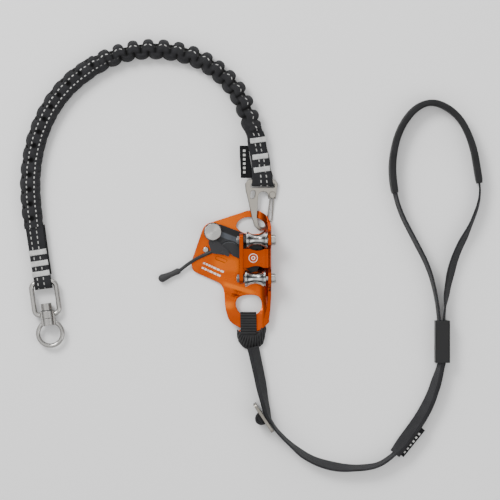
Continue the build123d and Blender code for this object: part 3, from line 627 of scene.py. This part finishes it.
strap_web = woven("strap_webbing", (0.025, 0.025, 0.027), pitch=0.0016, depth=0.0004)
tube_web = woven("tube_webbing", (0.024, 0.024, 0.025), pitch=0.0013, depth=0.0003)
end_web = woven("end_webbing", (0.022, 0.022, 0.024), lines=(0.0056, 0.0112), pitch=0.0012)
swivel_web = woven("swivel_webbing", (0.022, 0.022, 0.024), lines=(0.0075, 0.0147), pitch=0.0012)
tag_web = woven("tag_webbing", (0.008, 0.008, 0.009), pitch=0.0005, depth=0.0001)
hitch_web = woven("hitch_webbing", (0.034, 0.034, 0.035), pitch=0.0014, depth=0.0003, crease_shade_depth=0.75)


def thread_material():
    """White satin-stitch thread: closely laid strands across the bar."""
    n = Nodes("tack_thread")
    along, across, _ = n.split(n.coords("UV"))
    wobble = n.noise(n.coords(), 300, 2)
    strands = n.abs(n.math("SINE", n.add(n.mul(along, pi / 0.00055),
                                                    n.mul(wobble, 5.0))))
    cloud = n.noise(n.coords(), 220, 3)
    # painted shade: darker between the strands, lighter on their tops
    shade = n.mix(n.mul(strands, n.step(cloud, 0.25, 0.6, 0.45, 1)), (0.36, 0.36, 0.35), (0.88, 0.88, 0.86))
    n.set(Base_Color=shade, Roughness=n.step(cloud, 0.3, 0.7, 0.6, 0.8), Normal=n.bump(strands, 0.0003, 0.9))
    n.bsdf.inputs["Sheen Weight"].default_value = 0.3
    return n.mat


thread = thread_material()

# ------------------------------------------------------------------ gathered sleeve of the lanyard
PERIOD = 14.6                   # spacing of the gathers, mm
RADIUS = 9.5                    # of the sleeve, mm
CALM_FROM, CALM_BY = 165, 225   # where along it the ruffles give way to flatter puckers, mm
STITCH = 0.45                   # place of the stitch line on the ruffled part, 1 at the outer edge
LINE_OUT, LINE_IN = 0.33, -0.45  # stitch lines where the sleeve lies flatter


def puff(t):
    """1 in the middle of a fold and 0 in the crease between two."""
    return abs(cos(pi * t)) ** 0.55


def ease(x, low, high):
    t = min(1.0, max(0.0, (x - low) / (high - low)))
    return t * t * (3 - 2 * t)


def wobble(k, seed):
    """A fixed, irregular number from -1 to 1 for each fold."""
    return sin(k * 12.9898 + seed * 4.1) * 0.6 + sin(k * 7.23 + seed) * 0.4


def sleeve_relief(s, phi, total):
    """How far the sleeve's surface stands out from its outline (in, where negative), mm.

    s is the place along in mm, phi the angle round it and total the sleeve's length. The first part is
    ruffled in lobes on both sides of one stitch line, and the rest is puckered between two.
    """
    v = cos(phi)
    over = 1 if sin(phi) >= 0 else 0.7
    fold = s / PERIOD
    k = round(fold)
    fold += 0.07 * wobble(k, 1)
    flat = ease(s, CALM_FROM, CALM_BY)
    t = fold - round(fold)
    outer = ease(v, STITCH - 0.1, STITCH + 0.1)
    inner = ease(-v, 0.05 + 0.5 * abs(t), 0.5 + 0.4 * abs(t))
    lobe = sqrt(max(0.0, 1 - min(1.0, abs(t) / 0.36) ** 2.2))
    mid = puff(fold)
    low = puff(fold + 0.5 + 0.05 * wobble(k, 4))
    high = 1 + 0.16 * wobble(round(fold + 0.5), 2)
    ruffled = -high * (outer * 4.6 * (1 - lobe) * (0.55 + 0.45 * ease(v, 0.5, 0.95)))
    ruffled -= high * (1 - outer) * (1 - inner) * 3.0 * (1 - mid)
    ruffled -= high * (1 - outer) * inner * 3.6 * (1 - low)
    ruffled -= 0.7 * over * exp(-((v - STITCH - 0.08 * (mid - 0.6)) * RADIUS / 0.9) ** 2)
    ruffled -= 1.1 * over * inner * (1 - inner) * 4 * (0.5 + 0.5 * wobble(k, 5))
    middle = exp(-((v - (LINE_OUT + LINE_IN) / 2) * RADIUS / 3.4) ** 2)
    calm = -1.5 * (1 - puff(fold + 0.5)) * ease(v, 0.1, 0.8) - 0.7 * (1 - puff(fold + 0.25)) * (1 - middle)
    pit = v - (LINE_OUT + LINE_IN) / 2 - 0.06 + 0.09 * wobble(k, 3)
    calm -= 4.2 * over * exp(-(t * PERIOD / 2.5) ** 2 - (pit * RADIUS / 2.7) ** 2)
    calm -= 1.5 * over * exp(-((t - 0.2) * PERIOD / 1.6) ** 2 - ((v - 0.74) * RADIUS / 1.6) ** 2)
    calm -= 1.3 * over * exp(-((t + 0.25) * PERIOD / 1.6) ** 2 - ((v + 0.82) * RADIUS / 1.4) ** 2)
    for line in (LINE_OUT, LINE_IN):
        calm -= 0.6 * over * exp(-((v - line) * RADIUS / 0.9) ** 2)
    relief = ruffled * (1 - flat) + calm * flat
    return relief * ease(s, 5, 13) * ease(total - s, 0, 9) - 0.9 * (1 - ease(s, 0, 7))


def sleeve_material():
    """Tubular webbing: longitudinal ribs, painted shade in the creases and broken lines of pale tracer thread,
    dimmed by painted shade in the pits.
    """
    n = Nodes("sleeve_webbing")
    along, round_, _ = n.split(n.coords("UV"))
    near = n.math("MINIMUM", round_, n.sub(1.0, round_))
    mm = n.mul(along, 1000.0)
    rib = n.abs(n.math("SINE", n.mul(round_, pi * 54)))
    shift = n.mul(n.math("FLOOR", n.mul(round_, 54.0)), pi * 0.5)
    pick = n.abs(n.math("SINE", n.add(n.mul(mm, pi / 1.05), shift)))
    weave = n.mul(n.math("POWER", rib, 0.7), n.add(n.mul(pick, 0.55), 0.45))
    fuzz = n.noise(n.coords(), 1300, 3)
    cloud = n.noise(n.coords(), 90, 3)
    flat = n.step(mm, CALM_FROM, CALM_BY)
    turn = n.math("COSINE", n.mul(mm, 2 * pi / PERIOD))
    ruffle_line = n.sub(0.195, n.mul(turn, 0.024))
    line_one = n.add(n.mul(ruffle_line, n.sub(1.0, flat)),
                      n.mul(flat, acos(LINE_OUT) / (2 * pi)))
    half = 0.0125
    one = n.step(n.abs(n.sub(near, line_one)), half, half * 0.5)
    two = n.mul(flat, n.step(n.abs(n.sub(near, acos(LINE_IN) / (2 * pi))),
                                          half, half * 0.5))
    beat = n.math("FRACT", n.math("DIVIDE", mm, PERIOD / 3))
    lit = n.mul(n.step(beat, 0.16, 0.30), n.step(beat, 0.74, 0.60))
    # painted shade: tracer dashes dimmed in the pits between gathers
    pit = n.mul(n.sub(1.0, flat), n.step(turn, -0.75, -0.95))
    lit = n.mul(lit, n.sub(1.0, n.mul(pit, 0.8)))
    mask = n.mul(n.mul(n.max(one, two), lit), n.step(fuzz, 0.25, 0.6, 0.65, 1.0))
    # painted shade: darker in the hollows between yarns, lighter on their raised tops
    shade = n.mix(n.mul(weave, n.step(cloud, 0.25, 0.75, 0.5, 1.0)), (0.010, 0.010, 0.011), (0.044, 0.044, 0.047))
    shade = n.mix(mask, shade, (0.58, 0.58, 0.56))
    # painted shade: creases near black by their depth
    shade = n.mix(n.step(n.depth(), 0.5, 2.6), shade, (0.002, 0.002, 0.002))
    height = n.add(weave, n.mul(fuzz, 0.4))
    n.set(Base_Color=shade, Roughness=n.step(cloud, 0.3, 0.7, 0.78, 0.92), Normal=n.bump(height, 0.00028, 0.9))
    n.bsdf.inputs["Sheen Weight"].default_value = 0.07
    n.bsdf.inputs["Sheen Roughness"].default_value = 0.5
    n.bsdf.inputs["Specular IOR Level"].default_value = 0.12
    return n.mat


def make_sleeve():
    path, length = spline_path(LANYARD, 0.6 * MM)
    stations = frames_of(path)
    cols = 96
    total = length / MM

    def place(i, j):
        here, _, right, up = stations[i]
        s = total * i / (len(stations) - 1)
        phi = 2 * pi * j / cols
        flat = ease(s, CALM_FROM, CALM_BY)
        wide = 10.3 + 0.2 * flat - 1.1 * (1 - ease(s, 0, 12)) - 0.9 * (1 - ease(total - s, 0, 12))
        tall = 9.2 - 1.4 * flat - 4.2 * (1 - ease(s, 0, 26)) - 4.0 * (1 - ease(total - s, 0, 30))
        bend = 1 + sleeve_relief(s, phi, total) / RADIUS
        return here + right * (wide * bend * cos(phi) * MM) + up * (tall * bend * sin(phi) * MM)

    def uv(i, j):
        return (length * i / (len(stations) - 1), j / cols)

    mesh = grid_mesh("lanyard_gathers", len(stations), cols, place, uv)
    # the depth of each crease, for painted shade there
    keep_depth(mesh, [
        -sleeve_relief(total * i / (len(stations) - 1), 2 * pi * j / cols, total)
        for i in range(len(stations)) for j in range(cols)
    ])
    return link("lanyard_gathers", mesh, sleeve_material()), path, length


# ------------------------------------------------------------------ flat ends of the lanyard
HOOK = (Vector((48, 47, 2.25)), Vector((0.969684, 0, -0.24436)), Vector((0.021245, 0.996213, 0.084305)),
        Vector((0.243435, -0.086941, 0.966013)))
swivel_yaw, swivel_dip = radians(8), radians(1)
SWIVEL_OUT = Vector((sin(swivel_yaw) * cos(swivel_dip), -cos(swivel_yaw) * cos(swivel_dip), -sin(swivel_dip)))
SWIVEL_X = Vector((cos(swivel_yaw), sin(swivel_yaw), 0))
SWIVEL = (Vector((-170.3, -40.0, 8.0)), SWIVEL_X, -SWIVEL_OUT, SWIVEL_X.cross(-SWIVEL_OUT))


def local(base, a, b, c):
    origin, ax, ay, az = base
    return (origin + ax * a + ay * b + az * c) * MM


def webbing_layer(name, base, left, right, low_z, high_z, start, end, mat, arch=None, corner=0.9, rows=70):
    """One flat layer of webbing: its edges left and right are tables of (place along, place across)."""
    cols_top = 16

    def section(b):
        a0, a1 = blend_table(left, b), blend_table(right, b)
        z0, z1 = low_z(b), high_z(b)
        r = min(corner, (z1 - z0) / 2)
        points = []
        for j in range(cols_top + 1):
            t = j / cols_top
            a = a1 - r - (a1 - a0 - 2 * r) * t
            points.append((a, z1 + (arch(b) * sin(pi * t) if arch else 0)))
        for turn in (pi / 6, pi / 3, pi / 2, 2 * pi / 3, 5 * pi / 6):
            points.append((a0 + r - r * sin(turn), (z0 + z1) / 2 + (z1 - z0) / 2 * cos(turn)))
        for j in range(cols_top + 1):
            t = j / cols_top
            points.append((a0 + r + (a1 - a0 - 2 * r) * t, z0))
        for turn in (pi / 6, pi / 3, pi / 2, 2 * pi / 3, 5 * pi / 6):
            points.append((a1 - r + r * sin(turn), (z0 + z1) / 2 - (z1 - z0) / 2 * cos(turn)))
        return points

    places = [start + (end - start) * i / (rows - 1) for i in range(rows)]
    sections = [section(b) for b in places]
    cols = len(sections[0])

    def place(i, j):
        a, z = sections[i][j]
        return local(base, a, places[i], z)

    def uv(i, j):
        share = min(j, cols_top) / cols_top if j <= cols_top + 2 else max(0, 1 - (j - cols_top - 5) / cols_top)
        return (places[i] * MM, share * 0.0185)

    mesh = grid_mesh(name, rows, cols, place, uv)
    return link(name, mesh, mat)


def bar_tack(name, base, centre, width, length, z, turn):
    """A bar of white satin stitch: a low ridge with a ragged outline."""
    rows, cols = 37, 15
    grid = [(i, j) for i in range(rows) for j in range(cols)]

    def share(i, j):
        return i / (rows - 1) * 2 - 1, j / (cols - 1) * 2 - 1

    def flat(i, j):
        u, w = share(i, j)
        return u * width / 2, w * length / 2

    def ragged(i, j):
        x, y = flat(i, j)
        return x * (1 + 0.012 * sin(j * 2.3)), y * (1 + 0.05 * sin(i * 2.9 + width) + 0.04 * sin(i * 5.1))

    def rise(i, j):
        u, w = share(i, j)
        ridge = 0.65 * (max(0, 1 - abs(w) ** 5)) ** 0.5 * (max(0, 1 - abs(u) ** 18)) ** 0.5
        return max(0.02, ridge + 0.06 * sin(i * 3.7))

    def stand(pair, height):
        x, y = pair
        a = centre[0] + x * cos(turn) - y * sin(turn)
        b = centre[1] + x * sin(turn) + y * cos(turn)
        return tuple(local(base, a, b, z + height))

    front = [stand(ragged(i, j), rise(i, j)) for i, j in grid]
    back = [stand(flat(i, j), -0.3) for i, j in grid]
    mesh = shell_mesh(name, front, back, cols, lambda i, j: tuple(c * MM for c in ragged(i, j)))
    return link(name, mesh, thread)


sleeve, sleeve_path, sleeve_length = make_sleeve()
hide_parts("lanyard_sleeve", "lanyard_core")

hook_left = [(36, -14.6), (46, -14.6), (59, -15.4), (84, -20.3), (99, -24.6)]
hook_right = [(36, 8.4), (46, 6.6), (59, 3.4), (84, -1.6), (99, -6.2)]


def hook_top(b):
    """Height of the upper layer's face: round the hook's bar, then flat."""
    if b < 46:
        return 3.1 * sqrt(max(0.02, 1 - max(0, (40.4 - b) / 2.7) ** 2))
    return 2.6 + 0.5 * (1 - ease(b, 46, 51))


hook_webbing_top = webbing_layer(
    "hook_end_layer_top", HOOK, hook_left, hook_right, lambda b: 0.1 if b > 46 else -hook_top(b),
    hook_top, 37.75, 98.5, end_web, arch=lambda b: 0.35)
webbing_layer("hook_end_layer_low", HOOK, [(b, a + 1.6) for b, a in hook_left],
                                 [(b, a + 1.2) for b, a in hook_right], lambda b: -2.6, lambda b: -0.1, 48, 93.4,
                                 end_web)
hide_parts("hook_end_webbing")
hook_tacks = [
    bar_tack(f"hook_end_tack_{k}", HOOK, centre, width, 5.2, 2.75, radians(8))
    for k, (centre, width) in enumerate((((-4.9, 55.2), 16.8), ((-7.0, 68.0), 16.2), ((-9.6, 84.4), 16.4)))
]
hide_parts("hook_end_bartacks")

swivel_left = [(15, -9.0), (30, -8.9), (60, -9.4), (84, -9.6)]
swivel_right = [(15, 9.0), (30, 8.6), (60, 8.4), (84, 8.6)]


def swivel_top(b):
    over_bar = 4.7 * sqrt(max(0.02, 1 - ((b - 29) / 7.1) ** 2)) if abs(b - 29) < 7.05 else 0.6
    return max(over_bar, 2.6 if b > 33 else over_bar)


swivel_webbing_top = webbing_layer("swivel_end_layer_top", SWIVEL, swivel_left, swivel_right,
                                   lambda b: 0.1 if b > 36 else -swivel_top(b), swivel_top, 22.2, 88.0, swivel_web,
                                   arch=lambda b: 0.3)
swivel_webbing_low = webbing_layer("swivel_end_layer_low", SWIVEL, [(b, a + 1.4) for b, a in swivel_left],
                                   [(b, a + 1.2) for b, a in swivel_right], lambda b: -2.6, lambda b: -0.1, 36, 86.0,
                                   swivel_web)
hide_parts("swivel_end_webbing")
swivel_tacks = [
    bar_tack(f"swivel_end_tack_{k}", SWIVEL, (-0.8, place), 17.6, 5.4, 2.75, radians(1))
    for k, place in enumerate((59.3, 48.2, 37.8))
]
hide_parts("swivel_end_bartacks")

# the lanyard's tag: a folded woven label with plain pale blocks
lanyard_label = webbing_layer("lanyard_label", HOOK, [(46.2, -26.1), (78.6, -27.9)], [(46.2, -14.0), (78.6, -18.4)],
                              lambda b: -0.5, lambda b: 0.5, 46.2, 78.6, tag_web, corner=0.4, rows=30)
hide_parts("lanyard_tag")


def pale_blocks(name, base, places, size, z, mat, turn=0.0):
    """Plain raised rectangles that stand where a label has its print."""
    verts, faces = [], []
    for a, b in places:
        first = len(verts)
        for dz in (0.0, 0.06):
            for da, db in ((-1, -1), (1, -1), (1, 1), (-1, 1)):
                x, y = da * size[0] / 2, db * size[1] / 2
                across = a + x * cos(turn) - y * sin(turn)
                along = b + x * sin(turn) + y * cos(turn)
                verts.append(tuple(local(base, across, along, z + dz)))
        faces += [tuple(first + k for k in quad) for quad in (
            (3, 2, 1, 0), (4, 5, 6, 7), (0, 1, 5, 4), (1, 2, 6, 5), (2, 3, 7, 6), (3, 0, 4, 7))]
    mesh = bpy.data.meshes.new(name)
    mesh.from_pydata(verts, [], faces)
    return link(name, mesh, mat, smooth=False)


def print_material(name, colour):
    n = Nodes(name)
    cloud = n.noise(n.coords(), 900, 3)
    n.set(Base_Color=n.mix(n.step(cloud, 0.35, 0.65), tuple(c * 0.8 for c in colour), colour),
          Roughness=n.step(cloud, 0.3, 0.7, 0.5, 0.65))
    return n.mat


white_print = print_material("white_print", (0.86, 0.84, 0.80))
tag_print = print_material("tag_print", (0.55, 0.55, 0.53))
pale_blocks("lanyard_label_blocks", HOOK, [(-22.6 - 0.12 * k, 52 + 4.3 * k) for k in range(6)], (2.6, 2.4), 0.5,
            tag_print)

# ------------------------------------------------------------------ foot strap
upper_route = [(36.0, -76.2, 11.2)] + UPPER[1:] + [(51.2, -146.5, 11.2), (53.4, -152.6, 11.2)]
upper, _, _ = ribbon("strap_upper_web", upper_route, 16, 4.4, [(0, 34), (0.45, 30), (0.8, 16), (1, 2)],
                     strap_web, corner=1.0)
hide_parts("strap_upper")
lower, lower_path, lower_length = ribbon(
    "strap_lower_web", LOWER, 16, 2.0,
    [(0, 4), (0.2, 8), (0.38, 20), (0.55, 26), (0.75, 14), (0.9, 8), (1, 6)], strap_web)
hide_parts("strap_lower")
splice, splice_path, splice_length = ribbon(
    "strap_splice_web", [(178.0, -182.9, 9.2)] + SPLICE[1:-1] + [(225.2, -91.2, 9.2)], 16, 4.8,
    [(0, 26), (0.15, 38), (0.5, 33), (0.75, 24), (1, 10)], strap_web, corner=1.4)
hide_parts("strap_splice")
loop, loop_path, loop_length = ribbon(
    "foot_loop_web", LOOP, 16, 2.0,
    [(0, 3), (0.09, 3), (0.2, 10), (0.3, 8), (0.5, 4), (0.68, 6), (0.74, 12), (0.79, 27), (0.84, 31),
     (0.875, 22), (0.912, 3), (1, 3)],
    strap_web)
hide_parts("foot_loop")


def midway(p, q):
    return tuple((a + b) / 2 for a, b in zip(p, q))


tube_route = [midway(LOOP[5], LOOP[6])] + LOOP[6:14] + [midway(LOOP[13], LOOP[14])]
tube, _, _ = ribbon("foot_loop_cover", tube_route, 18, 6.6, [(0, 2), (0.5, 3), (1, 2)], tube_web,
                                      corner=2.6, ripple=0.3,
                                      swell=[(0, 0.86), (0.02, 1.0), (0.5, 0.96), (0.98, 1.0), (1, 0.86)])
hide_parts("foot_loop_tube")

buckle_origin = Vector((37.3, -132.4, 0))
buckle_along = Vector((0.548, -0.836, 0)).normalized()
buckle_out = Vector((buckle_along.y, -buckle_along.x, 0))


def beside(along, out):
    p = buckle_origin + buckle_along * along - buckle_out * out
    return (p.x, p.y, 11.2)


WRAP = [beside(10.6, 1.6), beside(10.9, -5.2), beside(16.4, -8.6), beside(21.9, -5.2), beside(22.2, 1.6)]
wrap, _, _ = ribbon("strap_wrap_web", WRAP, 16, 2.0, [(0, 0), (1, 0)], strap_web, step=0.8)
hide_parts("strap_wrap")
TAIL = [beside(12.3, -3.4), beside(16.4, -4.2), beside(20.5, -3.4)]
wrap_tail, _, _ = ribbon("strap_wrap_tail", TAIL, 15, 5.6, [(0, 0), (1, 0)], strap_web,
                         step=0.8, corner=2.0)

# the tag that is sewn to the splice
label_base = (Vector((195.0, -171.4, 13.6)), Vector((0.627, 0.779, 0)), Vector((-0.779, 0.627, 0)),
              Vector((0, 0, 1)))
strap_label = webbing_layer("strap_label", label_base, [(-2.4, -17.0), (2.4, -17.0)], [(-2.4, 17.5), (2.4, 17.5)],
                            lambda b: -6.5, lambda b: 0.0, -2.5, 2.5, tag_web, corner=0.5, rows=8)
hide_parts("strap_tag")
pale_blocks("strap_label_blocks", label_base, [(-12 + 4.6 * k, 0.1 * (-1) ** k) for k in range(6)], (2.2, 2.2), 0.0,
            tag_print)


# ------------------------------------------------------------------ hitch on the lower eye
def make_crown():
    """The rounded turn of webbing below the rim: ribs fan out from where the strap leaves it."""
    rows, cols = 46, 120

    def outline(u):
        turn = radians(196 + 148 * u)
        reach = 1.0 + 0.05 * sin(pi * u) ** 2 + 0.022 * abs(sin(u * pi * 13))
        reach += 0.05 * exp(-((u - 0.36) / 0.13) ** 2)
        ends = 9.0 * ease(u, 0.8, 1.0) + 1.6 * (1 - ease(u, 0.0, 0.15))
        return 34.6 + 15.4 * reach * cos(turn), -62.6 + 15.0 * reach * sin(turn) + ends

    def fan(u, w):
        return pi * 13 * (u + 0.10 * (w - 1))

    def place(i, j):
        u, w = j / (cols - 1), i / (rows - 1)
        ox, oy = outline(u)
        tx = 19.8 + 27.6 * u
        ty = -61.6 - 1.2 * sin(pi * u) + 10.5 * ease(u, 0.76, 1.0) + 2.6 * (1 - ease(u, 0.0, 0.2))
        x, y = tx + (ox - tx) * w, ty + (oy - ty) * w
        dome = (max(0, 1 - w ** 3)) ** 0.5 * (max(0, 1 - abs(2 * u - 1) ** 6)) ** 0.4
        rib = -0.8 * (1 - abs(sin(fan(u, w))) ** 0.6) * ease(w, 0.02, 0.3)
        z = 2.0 + 8.8 * dome * (0.86 + 0.14 * sin(pi * min(1, w * 1.3))) + rib * dome
        return (x * MM, y * MM, z * MM)

    def crease(i, j):
        u, w = j / (cols - 1), i / (rows - 1)
        return (1 - abs(sin(fan(u, w))) ** 0.6) * ease(w, 0.02, 0.3)

    grid = [(i, j) for i in range(rows) for j in range(cols)]
    front = [place(i, j) for i, j in grid]
    back = [(x, y, 0.7 * MM) for x, y, _ in front]
    mesh = shell_mesh("hitch_crown", front, back, cols,
                      lambda i, j: (i / (rows - 1) * 0.015, j / (cols - 1) * 0.036))
    # the depth of each rib hollow, for painted shade there
    keep_depth(mesh, [crease(i, j) for i, j in grid] * 2)
    return link("hitch_crown", mesh, hitch_web)


def make_band():
    """The turn of webbing over the front of the rim, ribbed across, rounded over the eye's edge."""
    route = [(-43.4, 3.2), (-42.0, 3.6), (-41.2, 5.4), (-41.3, 8.2), (-42.6, 10.0), (-45.5, 10.6),
             (-52, 10.8), (-59, 10.9), (-64, 10.4)]
    line, _ = spline_path([(0, y, z) for y, z in route], 0.35 * MM)
    rows, cols = len(line), 22

    def ribs(i):
        return i * 0.35 * pi / 2.6

    def outer(i, j):
        u = j / (cols - 1)
        y, z = line[i].y, line[i].z
        rib = 0.4 * abs(sin(ribs(i))) ** 0.6 * MM
        sag = -0.5 * (abs(2 * u - 1) ** 6) * MM
        lean = 0.9 * MM * (i / rows)
        return ((23.2 + 16.0 * u) * MM + lean * 0.4, y + (rib * 0.5 if i < 20 else 0), z + rib + sag)

    def inner(i, j):
        x, y, z = outer(i, j)
        return (x, y - 1.6 * MM * (1 - ease(i, 8, 22)), z - 1.9 * MM * ease(i, 8, 22))

    grid = [(i, j) for i in range(rows) for j in range(cols)]
    mesh = shell_mesh("hitch_band", [outer(i, j) for i, j in grid], [inner(i, j) for i, j in grid], cols,
                      lambda i, j: (j / (cols - 1) * 0.016, i * 0.00035), flip=True)
    # the depth between the ribs, for painted shade there
    keep_depth(mesh, [0.85 * (1 - abs(sin(ribs(i))) ** 0.6) for i, _ in grid] * 2)
    return link("hitch_band", mesh, hitch_web)


crown = make_crown()
make_band()
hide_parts("strap_hitch")

# ------------------------------------------------------------------ plain marks on the plate
PLATE = (Vector((0, 0, 0)), Vector((1, 0, 0)), Vector((0, 1, 0)), Vector((0, 0, 1)))
slope = radians(-24.5)


def mark_row(start, widths, gap):
    """Middle and width of each mark in a row that runs down the slope."""
    places, x = [], 0.0
    for width in widths:
        middle = x + width / 2
        places.append((start[0] + middle * cos(slope), start[1] + middle * sin(slope), width))
        x += width + gap
    return places


for row, (start, widths) in enumerate((((-14.0, 8.2), (2.2, 2.2, 2.2, 1.2, 3.4, 3.0, 3.6)),
                                       ((-15.4, 3.4), (2.4, 2.4, 1.2, 3.6, 3.2, 3.8)))):
    for k, (x, y, width) in enumerate(mark_row(start, widths, 0.8)):
        pale_blocks(f"plate_mark_{row}_{k}", PLATE, [(x, y)], (width, 1.9), 3.5, white_print,
                    turn=slope)


def ring_mark():
    """A plain pale ring and dot printed on the lip."""
    verts, faces = [], []
    for r0, r1 in ((3.9, 4.5), (1.1, 2.0)):
        first = len(verts)
        for k in range(40):
            for r in (r0, r1):
                verts.append(((36.2 + r * cos(k * pi / 20)) * MM, (13.0 + r * sin(k * pi / 20)) * MM, 21.56 * MM))
        for k in range(40):
            a, b = first + 2 * k, first + 2 * ((k + 1) % 40)
            faces.append((a, a + 1, b + 1, b))
    mesh = bpy.data.meshes.new("lip_mark")
    mesh.from_pydata(verts, [], faces)
    return link("lip_mark", mesh, white_print, smooth=False)


ring_mark()

# ------------------------------------------------------------------ cords: start points and paths in metres, worked out and not kept
def metres(place):
    return tuple(c * MM for c in place)


metres(LANYARD[0])
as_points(sleeve_path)
metres(LOWER[0])
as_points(lower_path)
metres(SPLICE[0])
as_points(splice_path)
metres(LOOP[0])
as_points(loop_path)

# ------------------------------------------------------------------ floor
floor_mesh = bpy.data.meshes.new("floor")
floor_mesh.from_pydata([(-4, -4, 0), (4, -4, 0), (4, 4, 0), (-4, 4, 0)], [], [(0, 1, 2, 3)])
floor = bpy.data.objects.new("floor", floor_mesh)
bpy.context.collection.objects.link(floor)
paper = Nodes("paper")
speck = paper.noise(paper.coords(), 500, 2)
paper.set(Base_Color=paper.mix(speck, (0.93, 0.93, 0.93), (0.96, 0.96, 0.96)), Roughness=0.9)
floor_mesh.materials.append(paper.mat)
